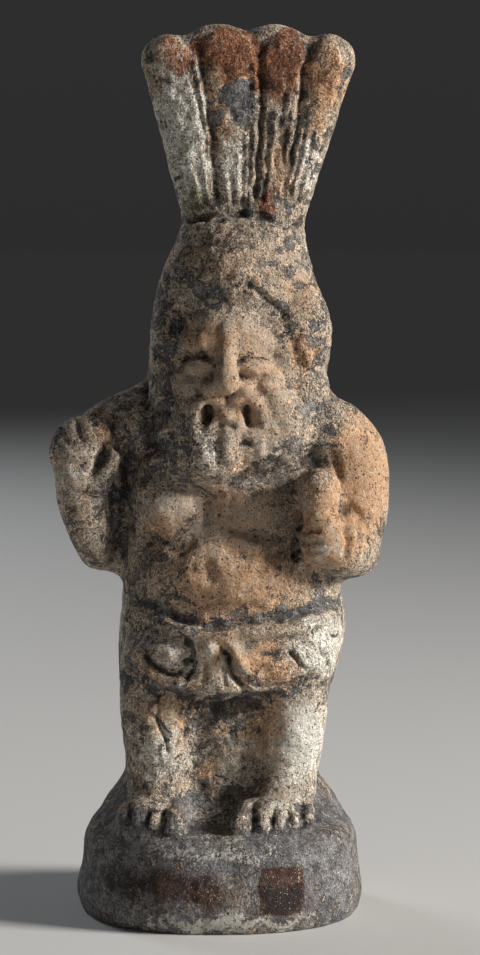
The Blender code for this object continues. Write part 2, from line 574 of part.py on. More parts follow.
def mark_legs(stylus):
    """Knees, the creases beside the web between the legs, and the gaps between the toes."""
    stylus.spot((-15.5, 25), (6.5, 5.5), 0.8)
    stylus.spot((18.5, 24), (5.5, 5.5), 0.7)
    stylus.line([(-6.4, 30), (-5.8, 24), (-6.2, 18)], 1.6, -0.6)
    stylus.line([(10.6, 33), (10.8, 26), (11.0, 18)], 1.6, -0.8)
    for x in (-14.9, -19.4, -23.5, 8.5, 13.4, 17.4, 20.8):
        stylus.line([(x + 0.4, 7.3), (x, 0.9)], 1.0, -1.3)


def add_marks(clay):
    stylus = Stylus(clay)
    mark_crown(stylus)
    mark_hair(stylus)
    mark_face(stylus)
    mark_beard(stylus)
    mark_torso(stylus)
    mark_raised_hand(stylus)
    mark_kilt(stylus)
    mark_legs(stylus)
    stylus.finish(clay)


def model_features(clay):
    """The small volumes, kept crisp."""
    add_features(clay)
    knead(clay, FINE_VOXEL, 3)


def thin_out(clay, triangles):
    """The skin in about the given number of triangles."""
    skin = bpy.data.meshes.new("skin")
    clay.to_mesh(skin)
    clay.clear()
    lump = bpy.data.objects.new("lump", skin)
    bpy.context.scene.collection.objects.link(lump)
    fewer = lump.modifiers.new("fewer", "DECIMATE")
    fewer.ratio = triangles / sum(len(face.vertices) - 2 for face in skin.polygons)
    graph = bpy.context.evaluated_depsgraph_get()
    thin = bpy.data.meshes.new_from_object(lump.evaluated_get(graph))
    bpy.data.objects.remove(lump)
    clay.from_mesh(thin)
    bpy.data.meshes.remove(thin)


def cut_underside(clay):
    """Everything under the ground plane is taken off, and the cut is left open."""
    bmesh.ops.bisect_plane(clay, geom=clay.verts[:] + clay.edges[:] + clay.faces[:], dist=UNIT / 50,
                           plane_co=(0, 0, 0), plane_no=(0, 0, 1), clear_inner=True)


def close_underside(clay):
    """A flat foot in the ground plane."""
    rim = [edge for edge in clay.edges if edge.is_boundary]
    for edge in rim:
        for vert in edge.verts:
            vert.co.z = 0
    bmesh.ops.contextual_create(clay, geom=rim)
    bmesh.ops.triangulate(clay, faces=clay.faces[:])


def fired_clay():
    material = bpy.data.materials.new("terracotta")
    material.use_nodes = True
    shader = material.node_tree.nodes["Principled BSDF"]
    shader.inputs["Base Color"].default_value = CLAY_COLOUR
    shader.inputs["Roughness"].default_value = CLAY_ROUGHNESS
    shader.inputs["Metallic"].default_value = 0.0
    return material


def build_statuette():
    clay = bmesh.new()
    rough_out(clay)
    model_masses(clay)
    model_features(clay)
    add_marks(clay)
    cut_underside(clay)
    thin_out(clay, SOLID_TRIANGLES)
    close_underside(clay)
    skin = bpy.data.meshes.new("statuette")
    clay.to_mesh(skin)
    clay.free()
    skin.shade_smooth()
    skin.materials.append(fired_clay())
    return skin


for old in list(bpy.data.objects):
    bpy.data.objects.remove(old)
statuette = bpy.data.objects.new("statuette", build_statuette())
bpy.context.scene.collection.objects.link(statuette)
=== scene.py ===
import math

import bmesh
import bpy
import numpy as np
from mathutils import Matrix, Vector, noise


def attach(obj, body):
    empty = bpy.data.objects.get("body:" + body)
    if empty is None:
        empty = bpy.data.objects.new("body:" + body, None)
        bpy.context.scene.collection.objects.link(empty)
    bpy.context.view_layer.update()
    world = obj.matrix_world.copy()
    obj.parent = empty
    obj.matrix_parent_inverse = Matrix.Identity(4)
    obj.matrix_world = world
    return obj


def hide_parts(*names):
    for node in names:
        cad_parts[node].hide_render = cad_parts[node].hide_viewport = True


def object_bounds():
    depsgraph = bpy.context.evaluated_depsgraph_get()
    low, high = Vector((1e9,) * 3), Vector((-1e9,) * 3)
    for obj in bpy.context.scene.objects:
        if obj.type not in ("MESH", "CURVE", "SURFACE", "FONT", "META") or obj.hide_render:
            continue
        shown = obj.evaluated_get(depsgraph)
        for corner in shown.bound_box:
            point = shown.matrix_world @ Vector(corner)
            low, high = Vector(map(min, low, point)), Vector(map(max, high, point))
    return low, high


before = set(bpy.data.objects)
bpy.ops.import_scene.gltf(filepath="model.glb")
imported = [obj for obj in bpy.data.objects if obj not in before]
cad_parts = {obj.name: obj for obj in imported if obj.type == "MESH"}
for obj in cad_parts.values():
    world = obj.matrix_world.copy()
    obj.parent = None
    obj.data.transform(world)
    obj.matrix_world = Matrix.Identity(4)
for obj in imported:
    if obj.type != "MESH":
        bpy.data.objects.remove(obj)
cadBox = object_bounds()
print("frame loaded")

# The figure is drawn in units of one 235th of the statuette's height: plinth 25, figure 158, crown 52.
drawnHeights = {"plinth": 25.0, "figure": 158.0, "crown": 52.0}
unit = (cadBox[1][2] - cadBox[0][2]) / sum(drawnHeights.values())

statuetteLook = {
    "plinthWidth": 77.0,
    "plinthDepth": 70.0,
    "crownFootWidth": 32.5,
    "crownTopWidth": 59.0,
    "crownThickness": 11.0,
    "roughVoxel": 1.1,
    "fineVoxel": 0.5,
    "triangles": 196000,
    "swell": 0.45,
    "grain": 0.16,
}

plinthWidth = statuetteLook["plinthWidth"] * unit
plinthDepth = statuetteLook["plinthDepth"] * unit
plinthHeight = drawnHeights["plinth"] * unit
drawnHeight = drawnHeights["figure"]
crownHeight = drawnHeights["crown"] * unit
crownFootWidth = statuetteLook["crownFootWidth"] * unit
crownTopWidth = statuetteLook["crownTopWidth"] * unit
crownThickness = statuetteLook["crownThickness"] * unit
roughVoxel = statuetteLook["roughVoxel"] * unit
fineVoxel = statuetteLook["fineVoxel"] * unit
tipWear = 0.8 * unit

# Shares of the crown's width: the tops of its feathers, and the grooves between them.
featherTips = (0.13, 0.36, 0.62, 0.87)
featherGrooves = (0.305, 0.58, 0.785)
crownSpreadEnd = 0.86
crownPlane = 4.5

# The face, drawn: its upright axis, its hairline and its chin.
faceAxis = 1.6
faceTop = 138.0
faceChin = 101.0

# The trunk's outline: height, left, right, front, back.
trunk = (
    (-6, -24, 24, -4, 20), (10, -25.2, 25, -7, 20), (20, -26.8, 27, -8, 21), (30, -27.3, 28.2, -9, 21),
    (36, -27.4, 30, -17, 22), (44, -27.6, 32.3, -20, 23), (49, -27.3, 33.1, -20, 23),
    (56, -26.6, 32.9, -18, 22), (62, -26, 31.8, -17, 21), (70, -25.5, 31, -15, 21),
    (80, -25.8, 31.5, -12, 21), (92, -25, 32, -10, 20), (102, -24, 34, -7, 19), (110, -21, 32, -4, 17),
    (116, -16, 26, -1, 14),
)

# The head with its hair, without the face.
head = (
    (96, -14, 22, -8, 16), (104, -18.5, 27.5, -9, 18), (112, -19.3, 28.2, -9, 20), (118, -19.7, 28, -9, 21),
    (124, -19.3, 29.3, -9, 22), (131, -18.9, 28.9, -9.5, 22), (137, -18, 27.3, -10.5, 21),
    (142, -16.8, 25.5, -11, 20), (147, -14.9, 24, -10.5, 19), (152, -12.2, 22.6, -9, 17),
    (156, -11, 22, -7, 15), (160, -10.4, 22.2, -4, 12),
)


def drawn(x, y, z):  # a point of the figure's drawing, in metres
    return Vector((x * unit, y * unit, plinthHeight + z * unit))


def addRings(clay, rings):  # a closed skin over rings of equally many points, with flat ends
    made = [[clay.verts.new(point) for point in ring] for ring in rings]
    count = len(made[0])
    for low, high in zip(made, made[1:]):
        for i in range(count):
            j = (i + 1) % count
            clay.faces.new((low[i], low[j], high[j], high[i]))
    clay.faces.new(reversed(made[0]))
    clay.faces.new(made[-1])


# A level superellipse. squareness 2 is an ellipse, and more is boxier
def oval(centre, halfWidth, halfDepth, squareness=2.0, count=48):
    points = []
    for i in range(count):
        angle = 2 * math.pi * i / count
        c, s = math.cos(angle), math.sin(angle)
        across = math.copysign(abs(c) ** (2 / squareness), c) * halfWidth
        along = math.copysign(abs(s) ** (2 / squareness), s) * halfDepth
        points.append(centre + Vector((across, along, 0)))
    return points


# A body from its drawn outline of height, left, right, front and back
def addDrawnLoft(clay, outline, squareness):
    rings = []
    for height, left, right, front, back in outline:
        centre = drawn((left + right) / 2, (front + back) / 2, height)
        rings.append(oval(centre, (right - left) / 2 * unit, (back - front) / 2 * unit, squareness))
    addRings(clay, rings)


# A drawn ellipsoid. lean turns its top to +x and nod turns it in the side view, in degrees
def addBall(clay, centre, radii, lean=0.0, nod=0.0, rows=14, count=28):
    turn = Matrix.Rotation(math.radians(lean), 3, "Y") @ Matrix.Rotation(math.radians(nod), 3, "X")
    size = Matrix.Diagonal([r * unit for r in radii])
    middle = drawn(*centre)
    rings = []
    for i in range(rows):
        latitude = math.pi * ((i + 0.5) / rows - 0.5)
        ring = oval(Vector((0, 0, math.sin(latitude))), math.cos(latitude), math.cos(latitude), count=count)
        rings.append([middle + turn @ size @ point for point in ring])
    addRings(clay, rings)


def addBalls(clay, *balls):
    for ball in balls:
        addBall(clay, *ball)


# Points and radii along a catmull-rom curve through the given ones
def smoothPath(points, radii, steps=6):
    given = [(*point, radius) for point, radius in zip(points, radii)]
    given = [np.array(row, float) for row in given]
    ends = [2 * given[0] - given[1], *given, 2 * given[-1] - given[-2]]
    path = []
    for a, b, c, d in zip(ends, ends[1:], ends[2:], ends[3:]):
        for t in np.arange(steps) / steps:
            path.append(0.5 * (2 * b + (c - a) * t + (2 * a - 5 * b + 4 * c - d) * t**2
                               + (3 * b - a - 3 * c + d) * t**3))
    path.append(given[-1])
    return path


# A round-ended roll of clay through points in metres. flat squeezes its section from front to back
def addRoll(clay, points, radii, flat=1.0, count=14):
    path = smoothPath(points, radii)
    centres = [Vector(row[:3]) for row in path]
    widths = [row[3] for row in path]
    start = (centres[1] - centres[0]).normalized()
    finish = (centres[-1] - centres[-2]).normalized()
    cap = [math.radians(a) for a in (80, 60, 40, 20)]
    rows = [(centres[0] - start * widths[0] * math.sin(a), widths[0] * math.cos(a), start) for a in cap]
    for i, centre in enumerate(centres):
        ahead = centres[min(i + 1, len(centres) - 1)]
        behind = centres[max(i - 1, 0)]
        rows.append((centre, widths[i], (ahead - behind).normalized()))
    rows += [(centres[-1] + finish * widths[-1] * math.sin(a), widths[-1] * math.cos(a), finish)
             for a in reversed(cap)]
    rings = []
    for centre, width, way in rows:
        sideways = abs(way.y) < 0.9
        side = way.cross(Vector((0, 1, 0)) if sideways else Vector((0, 0, 1))).normalized()
        front = side.cross(way).normalized()
        squeeze = flat if sideways else 1.0
        rings.append([centre + side * (math.cos(a) * width) + front * (math.sin(a) * width * squeeze)
                      for a in (2 * math.pi * k / count for k in range(count))])
    addRings(clay, rings)


def addLimb(clay, points, radii, flat=1.0):  # a drawn roll of clay
    addRoll(clay, [drawn(*point) for point in points], [radius * unit for radius in radii], flat)


# One skin round all that the clay holds, its joins softened. the clay then holds that skin
def knead(clay, voxel, passes):
    bmesh.ops.recalc_face_normals(clay, faces=clay.faces)
    rough = bpy.data.meshes.new("lump")
    clay.to_mesh(rough)
    clay.clear()
    lump = bpy.data.objects.new("lump", rough)
    bpy.context.scene.collection.objects.link(lump)
    remesh = lump.modifiers.new("one skin", "REMESH")
    remesh.mode = "VOXEL"
    remesh.voxel_size = voxel
    soften = lump.modifiers.new("soften", "SMOOTH")
    soften.factor = 0.5
    soften.iterations = passes
    graph = bpy.context.evaluated_depsgraph_get()
    skin = bpy.data.meshes.new_from_object(lump.evaluated_get(graph))
    bpy.data.objects.remove(lump)
    clay.from_mesh(skin)
    bpy.data.meshes.remove(skin)


# A low oval drum, flared at the foot, that runs on under the ground plane until it is cut there
def addPlinth(clay):
    profile = ((-0.16, 0.86), (0.0, 0.945), (0.12, 0.985), (0.26, 1.0), (0.5, 0.96), (0.75, 0.95),
               (0.88, 0.93), (0.96, 0.885), (1.0, 0.82))
    rings = []
    for height, share in profile:
        centre = Vector((-0.0003, 0, height * plinthHeight))
        rings.append(oval(centre, share * plinthWidth / 2, share * plinthDepth / 2, 2.3))
    addRings(clay, rings)


def addMound(clay):  # the clay that rises from the plinth's top to the ankles
    outline = ((-4, -34, 33.5, -22, 30), (0, -33, 33, -18, 29), (4, -30.5, 30.5, -12, 27),
               (8, -27.5, 27.5, -9, 24), (12, -25, 25, -7, 21))
    addDrawnLoft(clay, outline, 2.2)


def addLegs(clay):
    addLimb(clay, ((-16.5, -7, 40), (-16, -7, 24), (-14.5, -6, 8)), (10.8, 10.6, 9.2))
    addLimb(clay, ((19, -7, 40), (18, -7, 24), (16, -6, 8)), (10.2, 9.8, 8.8))


# The raised arm with the clay that fills its bend, and the bent arm across the belly
def addArms(clay):
    addLimb(clay, ((-18, 8, 107), (-28, 6, 102), (-34, 5, 94), (-35, 4, 82), (-32, 4, 70.5)),
             (9, 9.5, 10.6, 8.8, 6), flat=0.75)
    addBall(clay, (-27, 5, 86), (8, 7, 23))
    addLimb(clay, ((-33, -2, 70.5), (-35, -5.5, 78), (-36.6, -7, 88), (-36.8, -7, 96)), (5.2, 6.4, 7, 7.4),
             flat=0.85)
    addLimb(clay, ((24, 4, 106), (32.5, 2, 97), (34.2, 0, 84), (33, -3, 73)), (9, 11, 10.8, 9.4))
    addLimb(clay, ((35, -5, 71.5), (32, -13, 72.5), (29, -16.5, 74.5)), (7.8, 7.2, 6.6))


def crownSpan(share):  # the crown's left edge and width in metres, at a share of its height
    spread = min(1.0, share / crownSpreadEnd)
    width = crownFootWidth + (crownTopWidth - crownFootWidth) * spread
    middle = drawn(6.0 + 1.2 * spread, 0, 0).x
    return middle - width / 2, width


# A point of the crown from its shares of the width and height, forward of the crown's middle plane
def crownPoint(across, share, forward):
    left, width = crownSpan(share)
    foot = drawn(0, crownPlane, drawnHeight)
    return Vector((left + across * width, foot.y - forward, foot.z + share * crownHeight))


# The fan-shaped slab, and the round tops of its feathers. the outer two are smaller and lower
def addCrown(clay):
    rings = []
    for share in (-0.08, 0.0, 0.15, 0.4, 0.7, 0.84):
        width = crownSpan(max(share, 0))[1]
        half = crownThickness / 2 * (1.2 - 0.3 * max(share, 0))
        centre = crownPoint(0.5, max(share, 0), 0)
        centre.z += min(share, 0) * crownHeight
        rings.append(oval(centre, width / 2, half, 3.0))
    addRings(clay, rings)
    for i, across in enumerate(featherTips):
        outer = i in (0, len(featherTips) - 1)
        tip = (0.13 if outer else 0.215) * crownTopWidth
        top = (0.945 if outer else 1.0) - (tip - tipWear) / crownHeight
        points = [crownPoint(0.5 + (across - 0.5) * 0.8, top - 0.3, 0), crownPoint(across, top, 0)]
        addRoll(clay, points, (tip * 0.8, tip), crownThickness * 0.46 / tip, count=28)


def addTorso(clay):  # breasts, belly and shoulders
    addBalls(clay, ((-14, -4, 84), (10.8, 9.5, 11.5)), ((7, -4.5, 83), (13, 9.8, 11)),
        ((-3, -3, 93), (20, 11, 9)), ((2, -4.5, 65), (25, 16.5, 13.5)), ((28, 0, 103), (11, 11, 9)),
        ((-22, 3, 103), (11, 9, 9)))


def addHeadMasses(clay):  # face, cheeks, beard and the cap of hair
    addBalls(clay, ((faceAxis, -3, 120), (15.6, 13.5, 19.5)), ((3, -5, 103), (20.5, 13.5, 13.5)),
        ((-2, -8.5, 98), (11.5, 11.5, 10.5)), ((13.5, -5.5, 104), (12, 11, 12)),
        ((5.2, 1, 144.5), (18, 14, 13.5)), ((20, 1, 128), (8.5, 11.5, 14), -8),
        ((-14.2, 0, 118), (5, 9.5, 22)))


def addHands(clay):  # the raised hand with its thumb, and the fist with the knob that it holds
    addBalls(clay, ((-36.8, -6.5, 98), (8.4, 5.4, 9.8), 18), ((-34.2, -7.5, 101.5), (6, 4.6, 5.8), 30))
    addLimb(clay, ((-33.5, -8.5, 86.5), (-29.8, -10.5, 92), (-27.8, -10.5, 96.6)), (3.4, 2.7, 2.1))
    addBall(clay, (26.8, -16.5, 75), (6.6, 6.8, 6.4))
    addLimb(clay, ((25.6, -16.5, 88.6), (25.8, -16.5, 83.5), (26, -17, 76)), (5.9, 5, 4))
    addBall(clay, (25.8, -10.5, 86), (5.4, 7, 7.5))


def addKiltMasses(clay):  # the skirt of the wrapped kilt, and the folded apron that hangs in front
    addBalls(clay, ((2.5, -8, 45.5), (27.5, 14.8, 9)), ((-17, -8, 44.5), (9, 11.5, 6.5)),
        ((21.5, -7.5, 43.5), (9.5, 11.5, 8.5)))
    addLimb(clay, ((-24, -7, 54), (-13, -16.5, 51), (-2, -19.5, 50), (10, -19, 50.5), (22, -15, 52),
                    (30, -5, 54.5)), (2.6, 3, 3, 3, 3, 2.4))
    addLimb(clay, ((-24.5, -6, 42.5), (-17.5, -14, 41), (-9.5, -18, 39), (-1, -19.5, 38), (7.5, -18.2, 38.6),
                    (17.5, -15, 39.6), (26.5, -7, 40)), (2.6, 3.2, 3.2, 3.4, 3.2, 3.4, 3))
    addLimb(clay, ((-2, -19.5, 49), (-1.5, -20.5, 43), (-0.9, -19.5, 40)), (3, 6, 7.8), flat=0.42)


def addFeetMasses(clay):
    addBalls(clay, ((-18.2, -15.5, 1.5), (9.8, 12, 7), 0, 6), ((13.6, -15.5, 1.5), (9.8, 12, 7), 0, 6),
        ((-16, -8.5, 9), (9.4, 9, 8)), ((16.8, -8.5, 9), (8.8, 9, 8)))
    web = ((3, -10, 12.5, -9.5, 6), (14, -10.5, 12.5, -12.5, 6), (24, -11, 12.5, -14, 6),
           (33, -10.5, 12.5, -13.5, 6))  # the clay that the mould leaves between the shins
    addDrawnLoft(clay, web, 3)


def both(points):  # points of the face given from its axis, as they lie on its two sides
    return [[(faceAxis + side * point[0], *point[1:]) for point in points] for side in (-1, 1)]


def addFeatures(clay):  # nose, moustache, cheeks, ear and toes
    addLimb(clay, ((faceAxis, -12.2, 129.5), (faceAxis, -15.4, 123), (faceAxis, -18.2, 116.6)), (3, 2.8, 3.3))
    for side in both([(4.2, -15.4, 115)]):
        addBall(clay, side[0], (2.7, 3.2, 2.4))
    for side in both([(9, -8.4, 117)]):
        addBall(clay, side[0], (6, 5.8, 4.8))
    for side in both([(1.4, -15.6, 111.5), (5.4, -15.2, 110.8), (9.6, -12.8, 106.8), (11, -11.8, 102.5)]):
        addLimb(clay, side, (1.8, 2.1, 1.9, 1.2))
    addBalls(clay, ((21, -2.4, 131), (8, 6.8, 13), -12), ((15.5, -2.6, 122), (8.5, 8.4, 16), -5),
        ((21, -1.5, 113), (8, 8.5, 10)), ((22.4, -7.6, 123.6), (2.2, 2.4, 4.6), -10))
    leftToes = ((-12, 26, 3.3), (-17.2, 25.4, 2.6), (-21.4, 24, 2.4), (-25, 21.8, 2.2))
    rightToes = ((5.2, 26.6, 2.9), (10.8, 26, 2.5), (15.2, 25, 2.3), (19.2, 23.6, 2.1), (22.6, 21.6, 1.9))
    for x, reach, size in leftToes:
        addLimb(clay, ((x + 0.4, -17, 4.2), (x, -reach, 2.4)), (size, size))
    for x, reach, size in rightToes:
        addLimb(clay, ((x + (2 if x < 8 else 0.3), -17, 4.4), (x, -reach, 2.4)), (size, size))


def roughOut(clay):  # the big volumes, blended softly
    addPlinth(clay)
    addMound(clay)
    addDrawnLoft(clay, trunk, 2.5)
    addDrawnLoft(clay, head, 2.3)
    addLegs(clay)
    addArms(clay)
    addCrown(clay)
    knead(clay, roughVoxel, 12)


def modelMasses(clay):  # muscles, hair, beard, hands and cloth, as rounded additions
    addTorso(clay)
    addHeadMasses(clay)
    addHands(clay)
    addKiltMasses(clay)
    addFeetMasses(clay)
    knead(clay, roughVoxel, 8)


def drawnPoints(clay):  # where the skin's vertices lie in the drawing, and their normals
    clay.normal_update()
    clay.verts.ensure_lookup_table()
    points = np.array([vert.co for vert in clay.verts]) - np.array(drawn(0, 0, 0))
    return points / unit, np.array([vert.normal for vert in clay.verts])


# Smooth waves in many directions, about 1 high, for anything that a hand leaves uneven
def ripples(points, size, seed, waves=9):
    dice = np.random.default_rng(seed)
    total = np.zeros(len(points))
    for _ in range(waves):
        way = dice.normal(size=3)
        way *= dice.uniform(0.7, 1.5) * 2 * math.pi / size / np.linalg.norm(way)
        total += np.sin(points @ way + dice.uniform(0, 7))
    return total / math.sqrt(waves)


class Stylus:
    # Marks pressed into, or laid on, the front of the skin. They are drawn in the front view, x and z
    def __init__(self, clay):
        self.points, self.normals = drawnPoints(clay)
        self.facing = np.clip((-self.normals[:, 1] - 0.05) / 0.35, 0, 1)
        self.facing[self.points[:, 1] > 6] = 0
        self.flat = self.points[:, (0, 2)].copy()
        self.flat[:, 0] += ripples(self.points, 11, 1) * 0.28 + ripples(self.points, 4, 2) * 0.14
        self.flat[:, 1] += ripples(self.points, 11, 3) * 0.28 + ripples(self.points, 4, 4) * 0.14
        self.press = np.clip(0.9 + 0.32 * ripples(self.points, 9, 5), 0.25, 1.4)

    def move(self, chosen, amount):
        self.points[chosen] += self.normals[chosen] * (amount * self.facing[chosen])[:, None]

    # A groove (height below 0) or a ridge along a smooth path, running out at its ends
    def line(self, path, halfWidth, height, taper=0.2):
        path = np.array(smoothPath(path, [0] * len(path), 4))[:, :2]
        low, high = path.min(0) - halfWidth, path.max(0) + halfWidth
        chosen = np.flatnonzero(((self.flat > low) & (self.flat < high)).all(1) & (self.facing > 0))
        here = self.flat[chosen]
        near = np.full(len(chosen), 1e9)
        along = np.zeros(len(chosen))
        for i, (start, end) in enumerate(zip(path, path[1:])):
            way = end - start
            share = np.clip(((here - start) @ way) / max(way @ way, 1e-9), 0, 1)
            gap = np.linalg.norm(here - start - share[:, None] * way, axis=1)
            closer = gap < near
            near[closer] = gap[closer]
            along[closer] = (i + share[closer]) / (len(path) - 1)
        ends = np.clip(np.minimum(along, 1 - along) / taper + 0.15, 0, 1) if taper else 1
        fade = np.clip(1 - (near / halfWidth) ** 2, 0, 1) ** 2
        self.move(chosen, height * ends * self.press[chosen] * fade)

    def lines(self, *marks):
        for mark in marks:
            self.line(*mark)

    # A hollow or a bump. lean turns its top to +x, and an edge under 1 flattens its middle
    def spot(self, centre, radii, height, lean=0.0, edge=1.0):
        far = leaning(self.flat, centre, radii, lean)
        chosen = np.flatnonzero((far < 1) & (self.facing > 0))
        fall = np.clip((1 - far[chosen]) / edge, 0, 1)
        self.move(chosen, height * fall * fall * (3 - 2 * fall))

    # Lumps and knocks of about the given size
    def rough(self, centre, radii, size, height, seed=0.0, lean=0.0):
        far = leaning(self.flat, centre, radii, lean)
        chosen = np.flatnonzero((far < 1) & (self.facing > 0))
        lumps = np.array([noise.fractal(Vector(self.points[i] / size) + Vector((seed, 0, 0)), 0.8, 2.1, 3)
                          for i in chosen])
        self.move(chosen, height * lumps * np.clip((1 - far[chosen]) / 0.4, 0, 1))

    def finish(self, clay):
        places = self.points * unit + np.array(drawn(0, 0, 0))
        for vert, place in zip(clay.verts, places):
            vert.co = place


# How far points of the front view lie from an oval's middle, 1 at its edge
def leaning(flat, centre, radii, lean):
    turn = math.radians(lean)
    away = flat - np.array(centre)
    across = away[:, 0] * math.cos(turn) - away[:, 1] * math.sin(turn)
    up = away[:, 0] * math.sin(turn) + away[:, 1] * math.cos(turn)
    return np.hypot(across / radii[0], up / radii[1])


def crownMark(across, share):  # the drawn x and z of a place on the crown's front
    place = (crownPoint(across, share, 0) - drawn(0, 0, 0)) / unit
    return place.x, place.z


# Grooves between the feathers, the fine ribs, the drops at the tips, and the foot's undercut
def markCrown(stylus):
    for across, share in zip((0.15, 0.44, 0.685, 0.89), (0.12, 0.12, 0.09, 0.08)):
        path = [crownMark(across, 0.9 - 0.2 * k) for k in range(5)]
        stylus.line(path, share * crownTopWidth / unit, 0.4, 0.05)
    ribs = ((featherGrooves[0], 0.89, 1.3, -1.5), (featherGrooves[1], 0.91, 1.1, -1.2),
            (featherGrooves[2], 0.88, 1.3, -1.3), (0.27, 0.7, 0.8, -0.6), (0.49, 0.44, 1, -0.6),
            (0.53, 0.5, 0.8, -0.4), (0.64, 0.55, 0.9, -0.6), (0.7, 0.72, 1.2, -0.7), (0.74, 0.5, 0.8, -0.6),
            (0.83, 0.6, 0.9, -0.5), (0.89, 0.52, 1, -0.6), (0.2, 0.3, 1.2, -0.3), (0.42, 0.25, 0.9, -0.4))
    for across, top, halfWidth, depth in ribs:
        drift = (-0.02, -0.012, -0.004, 0, 0, 0)
        shares = [top + (0.07 - top) * k / 5 for k in range(6)]
        stylus.line([crownMark(across + d, s) for d, s in zip(drift, shares)], halfWidth, depth)
        stylus.line([crownMark(across + d - 0.03, s) for d, s in zip(drift, shares)], 0.8, -0.3 * depth)
    stylus.lines(([crownMark(0.05, 0.85), crownMark(0.055, 0.45), crownMark(0.06, 0.15)], 1, -0.7),
        ([crownMark(0.96, 0.8), crownMark(0.955, 0.45), crownMark(0.95, 0.12)], 1.2, -0.5))
    for across, share, wide, high, lean in ((0.15, 0.83, 0.095, 0.12, -8), (0.41, 0.865, 0.13, 0.125, 0),
                                            (0.66, 0.8, 0.107, 0.163, 4), (0.862, 0.76, 0.075, 0.19, 8)):
        radii = (wide * crownTopWidth / unit, high * crownHeight / unit)
        stylus.spot(crownMark(across, share), radii, 0.8, lean, 0.35)
    stylus.lines(([(-10.5, 158.5), (1, 160.3), (10, 159.8), (15, 158.6), (22, 156.6)], 1.5, -1.9, 0),
        ([(-11, 155.6), (4, 157), (14, 156.2), (22, 154)], 2.2, 0.8, 0))
    stylus.rough((5, 184), (34, 30), 3, 0.3, 9)


def markHair(stylus):  # the hairline, the ear, the strands that hang at the sides, and the rough cap
    stylus.lines(([(6.5, 142.5), (10, 139.3), (14, 136.6), (16.6, 133.6), (18.6, 131.6)], 1.2, -0.9),
        ([(9, 143.4), (12, 140.4), (16, 137.8), (18.6, 134.4)], 1.4, 0.4),
        ([(-0.5, 142), (-6, 139.5), (-10.4, 134.5), (-12.8, 128), (-14.2, 118), (-14.4, 110),
         (-13, 104)], 2.8, -0.8), ([(19.8, 128), (19, 123.6), (20.6, 118.6)], 1.1, -0.4),
        ([(22.6, 128.6), (24.6, 125), (24.4, 121.4), (22.6, 118.4)], 1.3, -0.4))
    for i in range(3):
        x = -16 - i * 1.9
        stylus.line([(x + 1, 134), (x - 0.6, 126), (x + 0.7, 117), (x - 0.4, 108), (x + 0.8, 99)], 1.3, -0.6)
    stylus.rough((5, 148), (21, 13), 6, 0.7, 3)
    stylus.rough((5, 149), (20, 11), 2.6, 0.28, 3.5)
    stylus.rough((-15, 120), (8, 32), 3.4, 0.8, 8)


def pressPair(stylus, points, level, halfWidth, height, taper=0.2):  # the same line on both sides of the face
    for side in both(points):
        stylus.line([(x, level + z) for x, z in side], halfWidth, height, taper)


def markFace(stylus):  # a plain, general face, its eyes, nose and mouth at the thirds of the head
    browHeight = faceTop - (faceTop - faceChin) / 3
    eyeHeight = browHeight - 4.6
    mouthHeight = faceChin + (faceTop - faceChin) * 2 / 9
    brows = ((4.6, 0.2), (7, 1.3), (10.2, 1.4), (14.5, -2))
    sockets = ((3, 1), (5, 1.6), (8.6, 2), (12.6, 0.6))
    underEyes = ((3.2, -1.8), (6.6, -3.4), (10.8, -2.6))
    upperLids = ((3.4, -0.7), (5.4, 0.9), (8.4, 1.1), (11.6, -0.9))
    lowerLids = ((3.6, -1.2), (7.2, -2.3), (11.4, -1.2))
    cheekFolds = ((3.6, 8), (6.4, 5.6), (9.6, 2.2), (12.4, -2.4))
    moustache = ((1.2, 2.8), (4.4, 3), (8.4, 0.2), (10.4, -4.6))
    hollows = ((4.6, 1), (5.4, -1), (7, -4.4))
    pressPair(stylus, brows, browHeight, 2.8, 0.8, 0.35)
    pressPair(stylus, sockets, eyeHeight, 2.2, -1.6)
    pressPair(stylus, underEyes, eyeHeight, 2, -1.1)
    for x in (faceAxis - 7.4, faceAxis + 7.4):  # eyeballs
        stylus.spot((x, eyeHeight - 0.5), (4.6, 2.7), 1.3, 0, 0.7)
    pressPair(stylus, upperLids, eyeHeight, 0.8, 0.8)
    pressPair(stylus, lowerLids, eyeHeight, 0.8, 0.6)
    for x in (faceAxis - 10.4, faceAxis + 10.4):  # cheekbones
        stylus.spot((x, eyeHeight - 8), (6.5, 5), 1.2)
    pressPair(stylus, cheekFolds, mouthHeight, 2, -0.4)
    pressPair(stylus, moustache, mouthHeight, 2.4, 0.5)
    pressPair(stylus, hollows, mouthHeight, 1.95, -4.6, 0.3)
    stylus.spot((faceAxis, mouthHeight - 1.8), (3.2, 1.7), 0.8)
    lip = [(faceAxis + x, mouthHeight + z) for x, z in ((-3, -4.2), (0, -3.9), (3, -4.1))]
    stylus.line(lip, 1.2, -0.9)
    stylus.line([(faceAxis, mouthHeight + 4.4), (faceAxis, mouthHeight + 1.2)], 0.9, -0.6)
    stylus.spot((13.5, 113), (8.5, 9.5), 1.6)
    stylus.spot((-9.5, 112), (5.0, 7.0), 0.8)


beardLook = {"clumps": 26, "height": 0.7}


